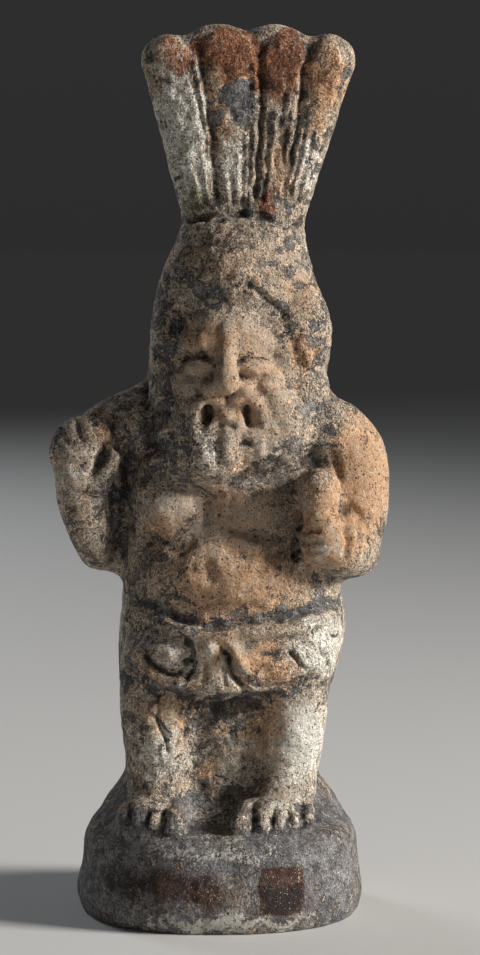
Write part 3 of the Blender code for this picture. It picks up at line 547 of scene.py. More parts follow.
def markBeard(stylus):  # soft worn clumps of the beard, and its lower edge
    dice = np.random.default_rng(12)
    for _ in range(beardLook["clumps"]):
        side = dice.uniform(-1, 1)
        drop = dice.uniform(0, 1)
        centre = (1 + side * (18 - 7 * drop), 104 + 5 * side * side - 12.5 * drop * (1 - 0.3 * abs(side)))
        wide = dice.uniform(1.6, 3)
        near = 1 - 0.5 * abs(side) - 0.35 * max(side, 0)
        tall = wide * dice.uniform(1.5, 2.6)
        height = beardLook["height"] * near * dice.uniform(-0.9, 1.3)
        stylus.spot(centre, (wide, tall), height, 25 * side * (1 - drop) + dice.uniform(-12, 12))
    locks = ((-8, -0.8, -0.9), (-4.4, -0.5, 0.8), (-1.2, 0.3, -1), (2.2, 0.4, 0.7), (5.4, 0.8, -0.9),
             (9, 1.2, 0.5))
    for x, bend, height in locks:
        stylus.line([(x, 103.5), (x + bend, 98.5), (x + 0.6 * bend, 92.5)], 1.9, height, 0.4)
    stylus.spot((7.2, 100.6), (2.4, 1.6), -1)
    stylus.line([(-19, 98), (-15, 92), (-8, 88.6), (-2, 87.6), (3, 89.8), (8, 91.4), (13, 90.6), (18, 93.5),
                 (23, 98.5)], 2.4, -0.9)
    stylus.rough((2.5, 100), (24, 15), 3.2, 0.45, 4)


def markTorso(stylus):  # creases of breasts, belly and arms, the navel and the bracelets
    stylus.lines(([(-23.6, 88), (-22, 79.5), (-18, 75.2), (-12, 72.6), (-8, 73.6), (-4.5, 76.5)], 2.4, -1),
        ([(-1, 74.5), (5, 72.6), (12, 71.8), (16, 70.5)], 2.6, -1.1),
        ([(-3.4, 86), (-4, 80), (-4, 76)], 2.6, -0.7), ([(7, 86.5), (10, 88), (13, 90.5)], 1.3, -0.8),
        ([(-3, 69.6), (-3.2, 67), (-3.4, 64)], 2.2, -0.8),
        ([(-17, 66), (-6, 62), (6, 62), (16, 64.5)], 2, -0.4),
        ([(-24.4, 101), (-25, 92), (-25.6, 82), (-26, 72)], 2, -1.6),
        ([(29.6, 99), (30.6, 93), (31.6, 86.5), (35, 82), (40, 77.5)], 2, -1.2),
        ([(31.6, 79.6), (32.7, 75.6), (31.4, 71.4)], 1.1, -0.9),
        ([(34.6, 80.6), (36.4, 76), (35, 70.6), (30.5, 67.6)], 1.2, -0.9),
        ([(33.2, 80.6), (34.6, 75.8), (33.2, 70.6)], 1.3, 0.8),
        ([(37.4, 79.6), (38.6, 75.4), (37.2, 70.8)], 1.1, -0.5))
    for i in range(3):
        z = 78.2 - i * 2.9
        stylus.line([(18.6, z - 0.6), (22, z), (26, z + 0.4)], 1.2, -1.2)
    stylus.lines(([(22.6, 81.6), (26.6, 81.8), (30, 79.4)], 1.8, 0.9),
        ([(19.6, 82.5), (21, 80), (19.2, 72), (20.5, 68.5)], 1.6, -1.2),
        ([(27.5, 82.6), (31, 83.6), (33, 81)], 1.7, -1.1))
    stylus.rough((2, 78), (28, 28), 6, 0.5, 6)


def markRaisedHand(stylus):
    stylus.line([(-33.8, 90.5), (-32.2, 94.5), (-30.5, 98.5), (-29.2, 101.5)], 1.5, -2.6)
    for i in range(3):
        x = -41.5 + 3.9 * i
        stylus.line([(x, 105.3 + i * 1.2), (x + 1.6, 99.5 + i * 0.8)], 1, -1)
    stylus.spot((-37.5, 94.5), (4.2, 3.6), -0.9)
    stylus.line([(-43.2, 88.6), (-37, 87.2), (-31.5, 85.4)], 1.2, -0.7)


def markKilt(stylus):  # belt, swags, apron and folds of the kilt
    stylus.lines(([(-23, 60), (-19, 59), (-14, 56.6), (-8, 54.1), (-3, 52.9), (5, 54), (12, 55.2), (18, 56),
         (24, 57.3), (30, 58.8)], 1.9, -1.4),
        ([(-22, 56.6), (-14, 53.4), (-8, 51.4), (-2, 50.6), (5, 51.7), (12, 52.3), (20, 53.1),
         (30, 55.8)], 2, 1.1), ([(4, 49.5), (12, 49.4), (20, 50.2), (25, 51.4), (31, 53)], 1.4, -1.3),
        ([(-21, 53.8), (-16, 51), (-11, 49.8), (-6.5, 49.4)], 1.2, -0.9))
    stylus.spot((-14.6, 45.8), (4.8, 3.8), 1.5, 20, 0.7)
    stylus.lines(([(-10.2, 50), (-7.6, 46.6), (-8.8, 42.6)], 1.8, -2.6),
        ([(-19.8, 43.6), (-17, 40.2), (-13.4, 38.4), (-7.4, 38.2)], 2, 1.4),
        ([(-20.6, 47.4), (-17.8, 42.8), (-13.4, 41), (-9.4, 41.2)], 1.2, -1.5),
        ([(-5.5, 46.6), (-7.7, 42), (-9.3, 38.4)], 1.2, -1.3),
        ([(0.4, 47.6), (1.8, 44.6), (3.6, 41), (5.8, 37.8), (7, 35.2)], 1.5, -2.2),
        ([(-4.2, 45), (-4.8, 38)], 1, -0.7), ([(-9, 36.6), (-4, 34.6), (1, 34), (7, 35.6)], 1.3, -0.9),
        ([(0.4, 45), (1.2, 37.4)], 1, -0.7))
    stylus.spot((-3, 47.4), (3.8, 2.8), 1.3)
    stylus.line([(1.8, 49.4), (4, 46), (7.2, 42), (12, 40.2), (19, 40.8), (23, 43)], 2.6, 1.7)
    stylus.spot((12.5, 45.8), (5.6, 2.6), -1.5)
    stylus.lines(([(17, 47), (20, 43.6), (23, 40.6)], 1.2, -1.1),
        ([(7.6, 38), (12, 37), (18, 37.6), (24.6, 40.8)], 1.3, -1.3),
        ([(20, 49.2), (24.4, 47.2), (28, 45)], 1.2, -0.9), ([(26.4, 47), (28.2, 42), (25.6, 38)], 1.1, -0.8))


def markLegs(stylus):  # knees, the creases beside the web, and the gaps between the toes
    stylus.spot((-15.5, 25), (6.5, 5.5), 0.8)
    stylus.spot((18.5, 24), (5.5, 5.5), 0.7)
    stylus.lines(([(-6.4, 30), (-5.8, 24), (-6.2, 18)], 1.8, -0.4),
        ([(10.6, 33), (10.8, 26), (11, 18)], 1.8, -0.6), ([(-13.6, 34), (-11.8, 28), (-10.6, 20)], 2.6, 0.4),
        ([(-19.4, 35), (-19, 28), (-17.4, 20)], 2.2, 0.7),
        ([(-16.6, 35.4), (-16.2, 27), (-15.2, 24.5), (-13.8, 19.5)], 0.75, -2.2, 0.05),
        ([(-12, 29.4), (-9.4, 26.4), (-9.9, 21.6)], 0.9, -0.8))
    stylus.rough((0, 18), (28, 22), 4.5, 0.6, 7)
    for x, z in ((-14.9, 3.4), (-19.4, 3.4), (-23.5, 3.4), (8.5, 3.6), (13.4, 3.6), (17.4, 3.6), (20.8, 3.6)):
        stylus.line([(x + 0.4, z + 3.2), (x, z - 2.6)], 1.1, -0.7)


# Small chips and dents all over the front
def markKnocks(stylus):
    dice = np.random.default_rng(31)
    for _ in range(170):
        centre = (dice.uniform(-44, 44), dice.uniform(-22, 205))
        radius = dice.uniform(0.8, 2.2)
        stylus.spot(centre, (radius, radius * dice.uniform(0.6, 1.0)), -dice.uniform(0.1, 0.35),
                    dice.uniform(0, 90), 0.6)


def addMarks(clay):
    stylus = Stylus(clay)
    markCrown(stylus)
    markHair(stylus)
    markFace(stylus)
    markBeard(stylus)
    markTorso(stylus)
    markRaisedHand(stylus)
    markKilt(stylus)
    markLegs(stylus)
    markKnocks(stylus)
    stylus.finish(clay)
    print("marks pressed")


def modelFeatures(clay):  # the small volumes, kept crisp
    addFeatures(clay)
    knead(clay, fineVoxel, 3)


def thinOut(clay, triangles):  # the skin in about the given number of triangles
    skin = bpy.data.meshes.new("skin")
    clay.to_mesh(skin)
    clay.clear()
    lump = bpy.data.objects.new("lump", skin)
    bpy.context.scene.collection.objects.link(lump)
    soften = lump.modifiers.new("worn", "SMOOTH")
    soften.factor = 0.5
    soften.iterations = 2
    fewer = lump.modifiers.new("fewer", "DECIMATE")
    fewer.ratio = triangles / sum(len(face.vertices) - 2 for face in skin.polygons)
    graph = bpy.context.evaluated_depsgraph_get()
    thin = bpy.data.meshes.new_from_object(lump.evaluated_get(graph))
    bpy.data.objects.remove(lump)
    clay.from_mesh(thin)
    bpy.data.meshes.remove(thin)


def cutUnderside(clay):  # everything under the ground plane is taken off, and the cut is left open
    bmesh.ops.bisect_plane(clay, geom=clay.verts[:] + clay.edges[:] + clay.faces[:], dist=unit / 50,
                           plane_co=(0, 0, 0), plane_no=(0, 0, 1), clear_inner=True)


def closeUnderside(clay):  # a flat foot in the ground plane
    rim = [edge for edge in clay.edges if edge.is_boundary]
    for edge in rim:
        for vert in edge.verts:
            vert.co.z = 0
    bmesh.ops.contextual_create(clay, geom=rim)
    bmesh.ops.triangulate(clay, faces=clay.faces[:])


# Swells, grain and knocks of an old hand-pressed surface, moved along the normals.
def weather(clay):
    points, normals = drawnPoints(clay)
    for vert, point, normal in zip(clay.verts, points, normals):
        place = Vector(point)
        low = 1 if point[2] < 0 else 0.55
        swell = noise.fractal(place * 0.085, 1.0, 2.0, 3) * statuetteLook["swell"] * low
        lumps = noise.fractal(place * 0.42 + Vector((9, 4, 2)), 0.9, 2.1, 3) * statuetteLook["grain"]
        vert.co += Vector(normal) * ((swell + lumps) * unit)


def cavities(skin, rounds):
    # How deep each vertex lies in a hollow (above 0) or on a ridge (below 0), in drawn units
    count = len(skin.vertices)
    edges = np.empty(len(skin.edges) * 2, int)
    skin.edges.foreach_get("vertices", edges)
    edges = edges.reshape(-1, 2)
    start = np.empty(count * 3)
    skin.vertices.foreach_get("co", start)
    start = start.reshape(-1, 3)
    normals = np.empty(count * 3)
    skin.vertices.foreach_get("normal", normals)
    normals = normals.reshape(-1, 3)
    degree = np.bincount(edges.ravel(), minlength=count)
    smooth = start.copy()
    for _ in range(rounds):
        total = np.empty_like(smooth)
        for axis in range(3):
            total[:, axis] = np.bincount(edges[:, 0], smooth[edges[:, 1], axis], count)
            total[:, axis] += np.bincount(edges[:, 1], smooth[edges[:, 0], axis], count)
        smooth = 0.4 * smooth + 0.6 * total / np.maximum(degree, 1)[:, None]
    return ((smooth - start) * normals).sum(1) / unit


class Palette:
    # Masks painted on the skin in the drawing's front view, read by the clay's material
    def __init__(self, skin):
        self.skin = skin
        count = len(skin.vertices)
        places = np.empty(count * 3)
        skin.vertices.foreach_get("co", places)
        self.places = (places.reshape(-1, 3) - np.array(drawn(0, 0, 0))) / unit
        normals = np.empty(count * 3)
        skin.vertices.foreach_get("normal", normals)
        self.front = np.clip(0.45 - normals.reshape(-1, 3)[:, 1], 0, 1)
        self.flat = self.places[:, (0, 2)].copy()
        self.flat[:, 0] += ripples(self.places, 9, 21) * 1.1 + ripples(self.places, 3.5, 22) * 0.6
        self.flat[:, 1] += ripples(self.places, 9, 23) * 1.1 + ripples(self.places, 3.5, 24) * 0.6
        self.masks = {}

    def coat(self, name, amount):
        self.masks[name] = np.full(len(self.places), float(amount))

    def dab(self, name, x, z, wide, high, amount, lean=0.0, edge=0.8):
        fall = np.clip((1 - leaning(self.flat, (x, z), (wide, high), lean)) / edge, 0, 1)
        self.masks[name] += amount * fall * fall * (3 - 2 * fall) * self.front

    def dabs(self, name, *patches):
        for patch in patches:
            self.dab(name, *patch)

    def stroke(self, name, path, halfWidth, amount):
        path = np.array(path, float)
        near = np.full(len(self.flat), 1e9)
        for start, end in zip(path, path[1:]):
            way = end - start
            share = np.clip(((self.flat - start) @ way) / (way @ way), 0, 1)
            near = np.minimum(near, np.linalg.norm(self.flat - start - share[:, None] * way, axis=1))
        self.masks[name] += amount * np.clip(1.4 - near / halfWidth, 0, 1) * self.front

    def block(self, name, left, right, low, high, amount, soft=1.5):
        x, z = (0.35 * self.flat + 0.65 * self.places[:, (0, 2)]).T
        inside = np.minimum(np.minimum(x - left, right - x), np.minimum(z - low, high - z))
        self.masks[name] += amount * np.clip(inside / soft + 0.5, 0, 1) * self.front

    def band(self, name, low, high, amount, soft=3.0):
        z = self.flat[:, 1]
        self.masks[name] += amount * np.clip((z - low) / soft, 0, 1) * np.clip((high - z) / soft, 0, 1)

    def drift(self, name, size, seed, amount):  # broad clouds on the back and sides, where no brush goes
        self.masks[name] += amount * ripples(self.places, size, seed) * (1 - self.front)

    def dry(self):
        for name, values in self.masks.items():
            layer = self.skin.attributes.new(name, "FLOAT", "POINT")
            layer.data.foreach_set("value", np.clip(values, -1, 2).astype(np.float32))


def paintCrown(brush):  # drops of red paint at the tips, white on the left feather, slate and soot between, painted shade at the foot
    brush.dabs("creamAndLight", (-10, 182, 9, 29, 1.4, -8), (3, 173, 6, 15, 0.5), (22, 172, 6, 14, 0.4, 14),
        (5, 190, 7, 8, 0.3))
    brush.dabs("slip", (-10, 182, 9, 29, 0.5, -8), (3, 173, 6, 15, 0.25), (5, 190, 7, 8, -0.5),
        (16, 172, 9, 14, 0.1))
    # The grime dab at z 161 is painted shade in the undercut under the crown's foot
    brush.dabs("grimeAndShade", (-10, 182, 9, 29, -0.3, -8), (17.6, 178, 2.6, 15, 0.7, 3), (26, 176, 3, 15, 0.4, 14),
        (10, 190, 5, 14, 0.25), (-20, 185, 4, 28, 0.4, -12), (2, 161, 24, 5, 0.5))
    brush.dabs("ochre", (-9, 190, 5, 12, 0.4, -8), (0, 183, 4, 12, 0.8, 4), (-5, 176, 3, 18, 0.6, -6),
        (27, 194, 7.5, 17, 1, 8), (3, 196, 12, 14, 0.5), (-12, 199, 8, 10, 0.9), (16, 172, 9, 14, 0.4))
    brush.dabs("redPaint", (-12, 200.5, 7.5, 9, 1.05), (2, 203, 10, 12, 1.35), (16.5, 200, 10.5, 15, 1.35),
        (28.5, 196, 6, 14, 0.75), (13, 163, 4.5, 7, 1.1), (10, 198, 6, 9, 1), (-4.5, 200, 4, 7, 0.7),
        (11, 184, 4, 12, 0.45))
    brush.dab("greyClay", 5, 190, 9, 10, 0.5)
    brush.dabs("moss", (-6.5, 164, 7, 6, 0.9), (20, 166, 6, 6, 0.4))


def paintHead(brush):  # cool grey hair, a clean warm face, and painted shade on the head's left flank
    # The grime dab at x −18 darkens the side of the head turned from the light: painted shade
    brush.dabs("grimeAndShade", (-18, 122, 7, 40, 0.35), (4, 120, 21, 20, -0.2), (7, 100.5, 3.4, 2.6, 0.4))
    brush.dabs("slip", (-17, 122, 7, 38, -0.12), (8, 149, 18, 12, 0.12), (16, 146, 12, 14, 0.15),
        (-8, 146, 9, 12, 0.05), (4, 120, 22, 21, 0.5), (21, 139, 8, 13, 0.2), (9, 104, 18, 15, 0.3),
        (-14, 98, 9, 14, -0.15), (11, 92, 8, 4, -0.35, -60))
    brush.dabs("greyClay", (-12, 140, 12, 22, 0.3), (-13, 100, 9, 14, 0.25))
    brush.dabs("creamAndLight", (2, 150, 20, 12, 0.05), (-3.5, 98, 5, 8, 0.35))
    brush.dabs("ochre", (4, 148, 16, 12, 0.25), (20, 147, 9, 12, 0.1), (3, 124, 19, 15, 0.35),
        (-4, 128, 8, 4, 0.5), (22, 124, 5, 9, 0.9), (21, 138, 8, 11, 0.35), (12, 112, 16, 16, 0.2),
        (1.6, 109, 13, 8, 0.35), (6, 98, 5, 8, 0.3))

    eyeHeight = faceTop - (faceTop - faceChin) / 3 - 4.6
    for side in both([(3.4, 0.6), (5.6, 1.9), (8.6, 2.0), (11.8, 0.4)]):
        brush.stroke("slip", [(x, eyeHeight + z) for x, z in side], 0.7, -0.5)
        brush.stroke("grimeAndShade", [(x, eyeHeight + z) for x, z in side], 0.6, 0.4)
    for side in both([(3.4, -0.6)]):
        brush.dab("slip", side[0][0], eyeHeight + side[0][1], 2.0, 2.4, -0.5)
    for side in both([(3.0, 6.5), (3.2, 1.0), (5.4, -4.0)]):
        brush.stroke("grimeAndShade", [(x, eyeHeight + z) for x, z in side], 0.8, 0.2)
    brush.stroke("slip", ((6.5, 142.5), (10, 139.3), (14, 136.6), (18, 132), (20.5, 127)), 0.7, -0.3)
    brush.stroke("grimeAndShade", ((6.5, 142.5), (10, 139.3), (14, 136.6), (18, 132)), 0.5, 0.15)
    chips = ((19, 131, 2.4, 2.6), (22, 148, 3, 2.4), (17, 151, 3.4, 2), (13, 148, 3, 1.6),
             (20.5, 117, 2, 2.6), (-2, 139, 3, 2.4), (24, 127, 1.8, 3))
    for x, z, wide, high in chips:
        brush.dab("slip", x, z, wide, high, -0.5)
    deepChips = ((22.4, 110, 2.4, 2), (18, 100, 3.6, 1.8), (24.6, 131.6, 1.2, 1.4), (17.4, 145, 3, 2.4),
                 (20.6, 141, 3, 1.4), (17.6, 153, 2.4, 2), (25, 97, 2.4, 1.6))
    for x, z, wide, high in deepChips:
        brush.dab("slip", x, z, wide, high, -0.8, 0, 0.5)


def paintBody(brush):  # arms, breasts and belly, a painted highlight on the fist, painted shade in the raised arm's bend
    # The dabs at the fist, x 26 to 30 and z 74 to 78, lighten it: ochre skin with a painted highlight
    brush.dabs("ochre", (38, 92, 12, 26, 0.95), (4, 64, 28, 17, 0.65), (4, 84, 18, 12, 0.35),
        (-16, 78, 8, 8, 0.5), (26, 84, 9, 15, 0.5), (-36, 92, 8, 18, 0.3), (-31, 104, 4, 7, 0.5),
        (30, 76, 11, 12, 0.55), (27, 75, 8, 9, 0.5))
    brush.dabs("slip", (38, 92, 11, 24, 0.45), (4, 64, 27, 16, 0.3), (2, 82, 26, 14, 0.32),
        (-14, 83, 11, 13, 0.22), (-38, 94, 9, 20, 0.3), (-27, 86, 5, 24, -0.15), (28, 78, 12, 16, 0.4),
        (26, 75, 8, 8, 0.4), (30, 82, 4, 3, -0.5))
    brush.dabs("creamAndLight", (-37, 92, 11, 20, 0.3), (27, 74, 7, 7, 0.25))
    # The grime dab at x −27.5 is painted shade in the bend between the raised arm and the body
    brush.dabs("grimeAndShade", (-38, 92, 9, 20, -0.2), (-27.5, 88, 4, 24, 0.35), (-16, 86, 10, 14, -0.25),
        (26, 75, 8, 8, -0.3))
    brush.dab("greyClay", -27, 84, 7, 28, 0.4)


def paintKilt(brush):  # the slate that shows along the belt and the hem, and painted shadow under the hem
    brush.dabs("slip", (-2, 46, 25, 12, 0.35), (26, 46, 11, 13, 0.3))
    brush.dabs("creamAndLight", (-8, 45, 20, 11, 0.3), (26, 47, 11, 12, 0.8))
    brush.dabs("grimeAndShade", (-4, 46, 22, 11, -0.15), (-24, 42, 6, 22, 0.3))
    brush.dabs("ochre", (11, 45, 7, 7, 0.7), (-3, 46, 7, 8, 0.55))
    brush.dab("greyClay", -22, 44, 9, 20, 0.2)
    belt = ((-24, 60), (-14, 56.6), (-8, 54.1), (-3, 52.9), (5, 54), (12, 55.2), (24, 57.3), (32, 59))
    hem = ((-25, 39), (-17.5, 38.6), (-9.5, 35.4), (-1.0, 33.4), (8, 34.6), (17.5, 35.8), (27, 38))
    # Along the hem the grime stroke is painted shadow under the kilt's overhang; the slate is the clay's own
    # grey
    for path, slip, grimeAndShade in ((belt, -0.45, 0.0), (hem, -0.35, 0.3)):
        brush.stroke("slip", path, 1.4, slip)
        brush.stroke("greyClay", path, 2.6, 0.5)
        brush.stroke("grimeAndShade", path, 1.0, grimeAndShade)
    brush.stroke("grimeAndShade", ((-10.2, 50.0), (-7.6, 46.6), (-8.8, 42.6)), 1.2, 0.9)
    brush.stroke("grimeAndShade", ((-20.6, 47.4), (-17.8, 42.8), (-13.4, 41.0), (-9.4, 41.2)), 0.8, 0.5)
    brush.stroke("grimeAndShade", ((0.4, 47.6), (1.8, 44.6), (3.6, 41), (5.8, 37.8)), 0.8, 0.5)
    brush.stroke("ochre", ((1.8, 49.4), (4.0, 46), (7.2, 42), (12, 40.2), (19, 40.8)), 2.6, 0.6)
    brush.stroke("ochre", ((-19.8, 43.6), (-17, 40.2), (-13.4, 38.4), (-7.4, 38.2)), 2.0, 0.6)


def paintLegs(brush):  # lime-white over the buff, with cracks, painted shadow under the hem and painted light on the mound
    brush.dabs("creamAndLight", (22, 22, 11, 18, 0.7), (-16, 20, 12, 14, 0.5), (3, 18, 8, 14, 0.3),
        (17, 4, 12, 7, 0.3), (-15, 4, 11, 7, 0.2))
    brush.dabs("slip", (20, 23, 13, 20, 0.5), (-15, 22, 12, 18, 0.35), (1, 28, 12, 6, -0.3),
        (3, 18, 12, 17, 0.3), (16, 5, 13, 8, 0.5), (-16, 5, 12, 7, 0.3))
    brush.dabs("ochre", (-14, 28, 11, 12, 0.5), (14, 28, 7, 14, 0.5), (-2, 14, 4, 4, 0.6),
        (5, 22, 8, 12, 0.45))
    brush.dab("lime", 3, 22, 26, 16, -0.4)
    # The dab at z 31 is painted shadow under the kilt's hem; the one at z 2 lightens the mound as painted
    # light
    brush.dabs("grimeAndShade", (3, 31, 11, 5, 0.8), (0, 22, 11, 12, 0.25), (0, 24, 5, 12, 0.2), (2, 2, 34, 6, -0.1))
    brush.stroke("grimeAndShade", ((-16.8, 34.4), (-16.2, 27), (-15.2, 24.5), (-13.8, 19.5)), 0.55, 1.8)
    brush.stroke("grimeAndShade", ((-12, 29.4), (-9.4, 26.4), (-9.9, 21.6)), 0.5, 0.7)
    for x in (-14.9, -19.4, -23.5, 8.5, 13.4, 17.4, 20.8):
        brush.stroke("grimeAndShade", ((x + 0.5, 6.2), (x, 1.0)), 0.6, 0.7)


def paintPlinth(brush):  # bare grey clay with lime grains, brown stains, a square dark stain, and painted light and shade
    # Grime dabs at x −26 and −23 are painted shade on the plinth's left; those taken off at x 1, z 2 and at x
    # 27 are painted light on the mound and the right
    brush.dabs("grimeAndShade", (-26, -12, 14, 14, 0.3), (-12, -13, 20, 6, 0.3), (1, 2, 12, 9, -0.6),
        (27, -10, 12, 16, -0.3), (-23, -14, 12, 9, 0.35))
    brush.dabs("grains", (-12, -13, 26, 9, 0.7), (10, -12, 30, 14, 0.5))
    brush.dabs("rust", (-8, -12, 26, 8, 0.5), (-15, -13, 20, 9, 0.55), (-2, -16, 8, 5, 0.4))
    # Less grey on the mound between the feet, which the right foot shades: painted light
    brush.dab("greyClay", 1, 2, 12, 9, -0.5)
    brush.dabs("ochre", (-6, -13, 24, 10, 0.4), (4, -14, 36, 12, 0.35))
    # Painted light on the plinth's right, where the key falls
    brush.dab("creamAndLight", 20, -3, 18, 6, 0.3)
    brush.dabs("lime", (-2, -4.6, 30, 2.6, 0.8), (2, -22, 36, 3.6, 1.2), (-2, 1, 22, 5, 0.6),
        (31, -10, 8, 16, 0.3))
    brush.band("slip", -40, 11, -0.62, 10)
    brush.band("greyClay", -40, 12, 0.3, 9)
    brush.band("lime", -30, 6, -0.1)
    brush.block("rust", 10.5, 21.0, -19.5, -8, 2.4)
    brush.block("grains", 11.5, 20.5, -19, -10, 1.0, 2.0)
    brush.block("grimeAndShade", 11.5, 20.0, -19.0, -13.6, 1.8, 3.0)


def paintMasks(skin):
    brush = Palette(skin)
    for name, amount in (("slip", 0.62), ("creamAndLight", 0.35), ("ochre", 0.18), ("grimeAndShade", 0.25), ("redPaint", 0.0),
                         ("greyClay", 0.55), ("moss", 0.0), ("rust", 0.0), ("lime", 0.25), ("grains", 0.0)):
        brush.coat(name, amount)
    for name, size, amount in (("slip", 26, 0.4), ("ochre", 38, 0.5), ("creamAndLight", 22, 0.4), ("grimeAndShade", 20, 0.3)):
        brush.drift(name, size, 31 + size, amount)
    for paintPart in (paintCrown, paintHead, paintBody, paintKilt, paintLegs, paintPlinth):
        paintPart(brush)
    # How deep each place lies in a hollow or a recess; the material darkens these as painted shade
    brush.masks["hollow"] = evened(cavities(skin, 5))
    brush.masks["recess"] = evened(cavities(skin, 70))
    brush.dry()
    print("masks painted")


def evened(values):
    return values / np.percentile(np.abs(values), 93)


clayColours = {
    "greyClay": (0.215, 0.215, 0.22, 1),
    "buffClay": (0.33, 0.285, 0.235, 1),
    "ochreSkin": (0.60, 0.375, 0.225, 1),
    "buffSkin": (0.50, 0.435, 0.355, 1),
    "creamSlip": (0.80, 0.77, 0.69, 1),
    "redPaint": (0.31, 0.125, 0.062, 1),
    "rust": (0.095, 0.045, 0.030, 1),
    "moss": (0.24, 0.22, 0.10, 1),
    # Near black, for soot and grime, and for the painted shade in hollows, recesses and shaded dabs
    "soot": (0.035, 0.033, 0.034, 1),
    "speck": (0.11, 0.045, 0.028, 1),
}


class NodeBench:
    # Short ways to place and join shader nodes
    def __init__(self, material):
        material.use_nodes = True
        self.tree = material.node_tree
        self.shader = self.tree.nodes["Principled BSDF"]
        self.column = 0

    def node(self, kind, **settings):
        node = self.tree.nodes.new(kind)
        self.column += 1
        node.location = (-200 * (self.column % 12) - 300, 250 * (self.column // 12) - 400)
        for name, value in settings.items():
            setattr(node, name, value)
        return node

    def plug(self, value, socket):
        if isinstance(value, bpy.types.NodeSocket):
            self.tree.links.new(value, socket)
        else:
            socket.default_value = value

    def mask(self, name):
        return self.node("ShaderNodeAttribute", attribute_name=name).outputs["Fac"]

    def sum(self, kind, first, second, clamp=False):
        node = self.node("ShaderNodeMath", operation=kind, use_clamp=clamp)
        self.plug(first, node.inputs[0])
        self.plug(second, node.inputs[1])
        return node.outputs[0]

    def times(self, first, second, clamp=False):
        return self.sum("MULTIPLY", first, second, clamp)

    def ramp(self, value, low, high, outLow=0.0, outHigh=1.0):
        node = self.node("ShaderNodeMapRange", interpolation_type="SMOOTHSTEP")
        for socket, given in zip(node.inputs, (value, low, high, outLow, outHigh)):
            self.plug(given, socket)
        return node.outputs[0]

    def blend(self, share, under, over, kind="MIX"):
        node = self.node("ShaderNodeMix", data_type="RGBA", blend_type=kind)
        self.plug(share, node.inputs["Factor"])
        self.plug(under, node.inputs["A"])
        self.plug(over, node.inputs["B"])
        return node.outputs["Result"]

    def shifted(self, place, seed):
        node = self.node("ShaderNodeVectorMath", operation="ADD")
        self.plug(place, node.inputs[0])
        node.inputs[1].default_value = (seed * 1.7, seed * -2.3, seed * 0.9)
        return node.outputs[0]

    def cloud(self, place, size, detail=4.0, rough=0.6, seed=0.0, warp=0.0):
        # Noise with features of about the given size in drawn units
        node = self.node("ShaderNodeTexNoise")
        self.plug(self.shifted(place, seed), node.inputs["Vector"])
        node.inputs["Scale"].default_value = 1 / (size * unit)
        node.inputs["Detail"].default_value = detail
        node.inputs["Roughness"].default_value = rough
        node.inputs["Distortion"].default_value = warp
        return node.outputs["Fac"]

    def specks(self, place, size, seed, fewest, largest):
        # Round dots, one in some of the cells of the given size: fewest is the share of empty cells
        node = self.node("ShaderNodeTexVoronoi")
        self.plug(self.shifted(place, seed), node.inputs["Vector"])
        node.inputs["Scale"].default_value = 1 / (size * unit)
        pick = self.node("ShaderNodeSeparateColor")
        self.plug(node.outputs["Color"], pick.inputs[0])
        reach = self.ramp(pick.outputs[0], fewest, 1.0, 0.0, largest)
        return self.ramp(self.sum("SUBTRACT", reach, node.outputs["Distance"]), 0.0, 0.07)

    def add(self, *terms):
        # Sum of values, each either a socket or a (socket, factor) pair
        total = None
        for term in terms:
            if isinstance(term, tuple):
                term = self.sum("MULTIPLY", term[0], term[1])
            total = term if total is None else self.sum("ADD", total, term)
        return total


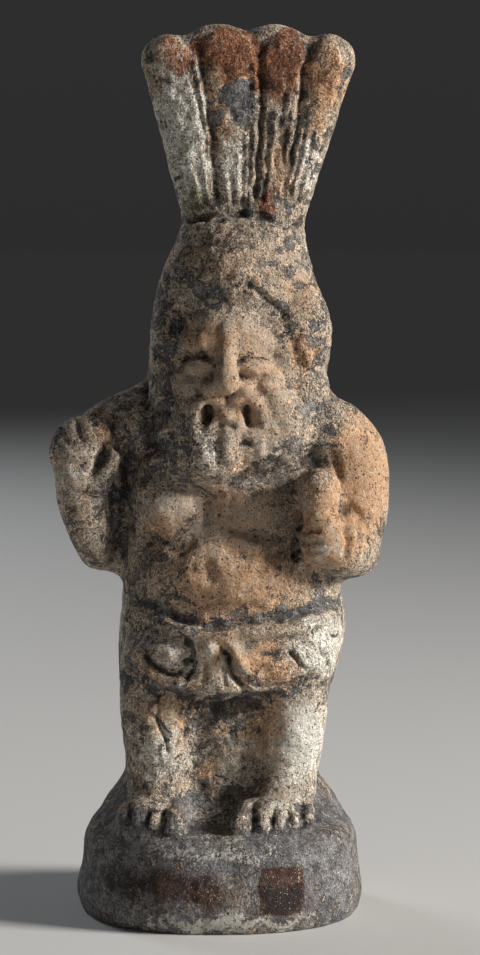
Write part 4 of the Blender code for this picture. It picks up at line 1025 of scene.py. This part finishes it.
def firedClay():
    material = bpy.data.materials.new("old fired clay with worn slip")
    bench = NodeBench(material)
    place = bench.node("ShaderNodeTexCoord").outputs["Object"]
    hollow = bench.mask("hollow")
    recess = bench.mask("recess")
    patches = bench.cloud(place, 4.8, 8.0, 0.66, 1.0, 0.7)
    crumbs = bench.cloud(place, 1.1, 5.0, 0.8, 2.0)
    mottle = bench.cloud(place, 2.6, 6.0, 0.72, 4.0)
    grit = bench.cloud(place, 0.9, 2.0, 0.7, 8.0)
    sand = bench.cloud(place, 0.42, 1.0, 0.5, 9.0)

    # Where the slip still holds, with ragged edges that crumble where little of it is left
    hold = bench.add((patches, 0.68), (crumbs, 0.32), (bench.mask("slip"), 0.20), (hollow, -0.02),
                     (recess, -0.012))
    skin = bench.ramp(hold, 0.589, 0.601)
    edge = bench.times(bench.ramp(hold, 0.566, 0.592), bench.ramp(hold, 0.615, 0.597))
    whole = bench.add((bench.mask("slip"), 1.0), (bench.mask("redPaint"), -0.5), (bench.mask("creamAndLight"), -0.3))
    whole = bench.ramp(whole, 0.55, 0.9)
    worn = bench.times(bench.ramp(whole, 0.0, 1.0, 1.0, 0.36), bench.ramp(skin, 0.0, 1.0, 0.72, 1.0))

    # The bare clay, the slip over it, and the lime-white that lies on the slip
    tint = bench.cloud(place, 13.0, 4.0, 0.6, 3.0)
    bare = bench.blend(bench.ramp(bench.add((tint, 1.0), (bench.mask("greyClay"), -0.35)), 0.15, 0.5),
                       clayColours["greyClay"], clayColours["buffClay"])
    stain = bench.cloud(place, 5.0, 7.0, 0.72, 12.0, 0.4)
    stain = bench.blend(bench.ramp(stain, 0.38, 0.62), (0.55, 0.54, 0.53, 1), (1.45, 1.45, 1.46, 1))
    bare = bench.blend(0.8, bare, stain, "MULTIPLY")
    rust = bench.ramp(bench.add((mottle, 0.8), (crumbs, 0.4), (bench.mask("rust"), 0.5)), 0.78, 1.12)
    bare = bench.blend(bench.times(rust, 0.85), bare, clayColours["rust"])
    ochre = bench.ramp(bench.add((mottle, 0.9), (bench.mask("ochre"), 0.6)), 0.45, 1.0)
    coat = bench.blend(ochre, clayColours["buffSkin"], clayColours["ochreSkin"])
    creamAndLight = bench.cloud(place, 3.8, 8.0, 0.78, 5.0)
    creamAndLight = bench.ramp(bench.add((creamAndLight, 1.1), (crumbs, 0.3), (bench.mask("creamAndLight"), 0.5)), 0.88, 1.22)
    coat = bench.blend(creamAndLight, coat, clayColours["creamSlip"])
    colour = bench.blend(skin, bare, coat)
    red = bench.cloud(place, 2.6, 7.0, 0.75, 6.0)
    red = bench.ramp(bench.add((red, 0.9), (crumbs, 0.4), (bench.mask("redPaint"), 0.45)), 0.84, 1.12)
    colour = bench.blend(bench.times(red, 0.9), colour, clayColours["redPaint"])
    moss = bench.ramp(bench.add((mottle, 0.6), (crumbs, 0.5), (bench.mask("moss"), 0.5)), 0.75, 1.0)
    colour = bench.blend(bench.times(moss, 0.8), colour, clayColours["moss"])

    # Light and dark grains in the clay itself
    shade = bench.blend(bench.ramp(mottle, 0.32, 0.68), (0.62, 0.60, 0.58, 1), (1.25, 1.24, 1.22, 1))
    colour = bench.blend(bench.times(worn, 0.85), colour, shade, "MULTIPLY")
    shade = bench.blend(bench.ramp(grit, 0.3, 0.7), (0.48, 0.47, 0.46, 1), (1.52, 1.52, 1.52, 1))
    colour = bench.blend(bench.times(worn, 0.75), colour, shade, "MULTIPLY")
    shade = bench.blend(bench.ramp(sand, 0.3, 0.7), (0.42, 0.41, 0.40, 1), (1.6, 1.6, 1.6, 1))
    colour = bench.blend(bench.times(worn, 0.7), colour, shade, "MULTIPLY")

    # Dirt in smears and along the broken edges of the slip, and painted shade in hollows, in recesses and in
    # shaded dabs
    smear = bench.cloud(place, 4.2, 9.0, 0.78, 7.0)
    dirtAndShade = bench.add((smear, 1.0), (bench.mask("grimeAndShade"), 0.32), (hollow, 0.06), (recess, 0.05))
    dirtAndShade = bench.ramp(dirtAndShade, 0.62, 0.84)
    colour = bench.blend(bench.times(dirtAndShade, 0.78), colour, clayColours["soot"])
    colour = bench.blend(bench.times(edge, 0.75), colour, clayColours["soot"])

    # Lime grains, most of them on the bare clay, and dark grains on the slip
    flecks = bench.cloud(place, 0.9, 3.0, 0.8, 11.0)
    flecks = bench.add((flecks, 1.0), (mottle, 0.35), (bench.mask("lime"), 0.22), (dirtAndShade, -0.1))
    flecks = bench.ramp(flecks, 0.83, 0.90)
    colour = bench.blend(bench.times(flecks, 0.75), colour, clayColours["creamSlip"])
    grains = bench.times(bench.specks(place, 0.6, 13.0, 0.2, 0.26), bench.mask("grains"), clamp=True)
    colour = bench.blend(bench.times(grains, 0.8), colour, clayColours["creamSlip"])
    pit = bench.sum("MAXIMUM", bench.specks(place, 0.76, 3.0, 0.05, 0.34),
                    bench.specks(place, 2.1, 7.0, 0.4, 0.2))
    colour = bench.blend(bench.times(pit, 0.9), colour, clayColours["speck"])
    bench.plug(colour, bench.shader.inputs["Base Color"])
    bench.plug(bench.ramp(skin, 0.0, 1.0, 0.92, 0.78), bench.shader.inputs["Roughness"])
    bench.shader.inputs["Specular IOR Level"].default_value = 0.15

    # Relief in drawn units: the slip's thickness, the grain, and the pits
    grain = bench.times(bench.add((grit, 0.7), (sand, 0.42)), bench.ramp(worn, 0.3, 1.0, 0.45, 1.0))
    relief = bench.add((skin, 0.48), (mottle, 0.9), (grain, 1.0), (flecks, 0.14), (pit, -0.3))
    bump = bench.node("ShaderNodeBump")
    bump.inputs["Strength"].default_value = 1.0
    bump.inputs["Distance"].default_value = unit
    bench.plug(relief, bump.inputs["Height"])
    bench.plug(bump.outputs["Normal"], bench.shader.inputs["Normal"])
    return material


def buildStatuette():
    clay = bmesh.new()
    roughOut(clay)
    modelMasses(clay)
    modelFeatures(clay)
    addMarks(clay)
    weather(clay)
    cutUnderside(clay)
    thinOut(clay, statuetteLook["triangles"])
    closeUnderside(clay)
    skin = bpy.data.meshes.new("statuette skin")
    clay.to_mesh(skin)
    clay.free()
    skin.shade_smooth()
    print("statuette modelled:", len(skin.polygons), "faces")
    paintMasks(skin)
    skin.materials.append(firedClay())
    piece = bpy.data.objects.new("statuette_skin", skin)
    bpy.context.scene.collection.objects.link(piece)
    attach(piece, "root")
    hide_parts("statuette")
    return piece


studioLook = {
    "floorColour": (0.75, 0.745, 0.735, 1),
    "skyAtHorizon": 0.0255,
    "skyAbove": 0.036,
    "key": {"place": (1.82, -0.46, 0.82), "energy": 8.4, "size": 0.5, "spread": 70,
            "colour": (1.0, 0.965, 0.92)},
    "fill": {"place": (-0.3, -1.7, 0.5), "energy": 0.5, "size": 1.2, "spread": 180,
             "colour": (0.86, 0.93, 1.0)},
    "rim": {"place": (-1.0, 1.1, 0.7), "energy": 6.0, "size": 0.5, "spread": 180,
            "colour": (0.9, 0.95, 1.0)},
    "cameraPlace": (5.0, -760.0, 180.0),
    "cameraAim": (5.0, 0.0, 115.3),
    "lens": 108.3,
}


def aimAt(thing, place, target):
    thing.location = place
    thing.rotation_mode = "QUATERNION"
    thing.rotation_quaternion = (Vector(target) - Vector(place)).to_track_quat("-Z", "Y")


def addSoftLight(name):
    look = studioLook[name]
    lamp = bpy.data.lights.new(name, "AREA")
    lamp.energy = look["energy"]
    lamp.size = look["size"]
    lamp.spread = math.radians(look["spread"])
    lamp.color = look["colour"]
    holder = bpy.data.objects.new(name, lamp)
    bpy.context.scene.collection.objects.link(holder)
    aimAt(holder, look["place"], (0, 0, 0.12))


def buildStudio():
    board = bmesh.new()
    bmesh.ops.create_circle(board, cap_ends=True, segments=96, radius=30.0)
    sheet = bpy.data.meshes.new("floor")
    board.to_mesh(sheet)
    board.free()
    floor = bpy.data.objects.new("floor", sheet)
    floor.location.z = cadBox[0][2] - 0.0002
    paper = bpy.data.materials.new("pale studio floor")
    paper.use_nodes = True
    shader = paper.node_tree.nodes["Principled BSDF"]
    shader.inputs["Base Color"].default_value = studioLook["floorColour"]
    shader.inputs["Roughness"].default_value = 0.9
    sheet.materials.append(paper)
    bpy.context.scene.collection.objects.link(floor)
    world = bpy.data.worlds.new("studio")
    world.use_nodes = True
    tree = world.node_tree
    way = tree.nodes.new("ShaderNodeTexCoord")
    split = tree.nodes.new("ShaderNodeSeparateXYZ")
    # As dark as the far floor at the horizon, so that no line shows
    glow = tree.nodes.new("ShaderNodeMapRange")
    glow.inputs["From Max"].default_value = 0.4
    glow.inputs["To Min"].default_value = studioLook["skyAtHorizon"]
    glow.inputs["To Max"].default_value = studioLook["skyAbove"]
    tree.links.new(way.outputs["Generated"], split.inputs[0])
    tree.links.new(split.outputs["Z"], glow.inputs["Value"])
    tree.links.new(glow.outputs["Result"], tree.nodes["Background"].inputs["Color"])
    bpy.context.scene.world = world
    for name in ("key", "fill", "rim"):
        addSoftLight(name)


def addCamera():
    lens = bpy.data.cameras.new("photographer")
    lens.lens = studioLook["lens"]
    lens.sensor_width = 36
    holder = bpy.data.objects.new("photographer", lens)
    bpy.context.scene.collection.objects.link(holder)
    aimAt(holder, [v * unit for v in studioLook["cameraPlace"]], [v * unit for v in studioLook["cameraAim"]])
    bpy.context.scene.camera = holder


bpy.context.scene.view_settings.view_transform = "Standard"
addCamera()
buildStatuette()
buildStudio()
print("studio lit")
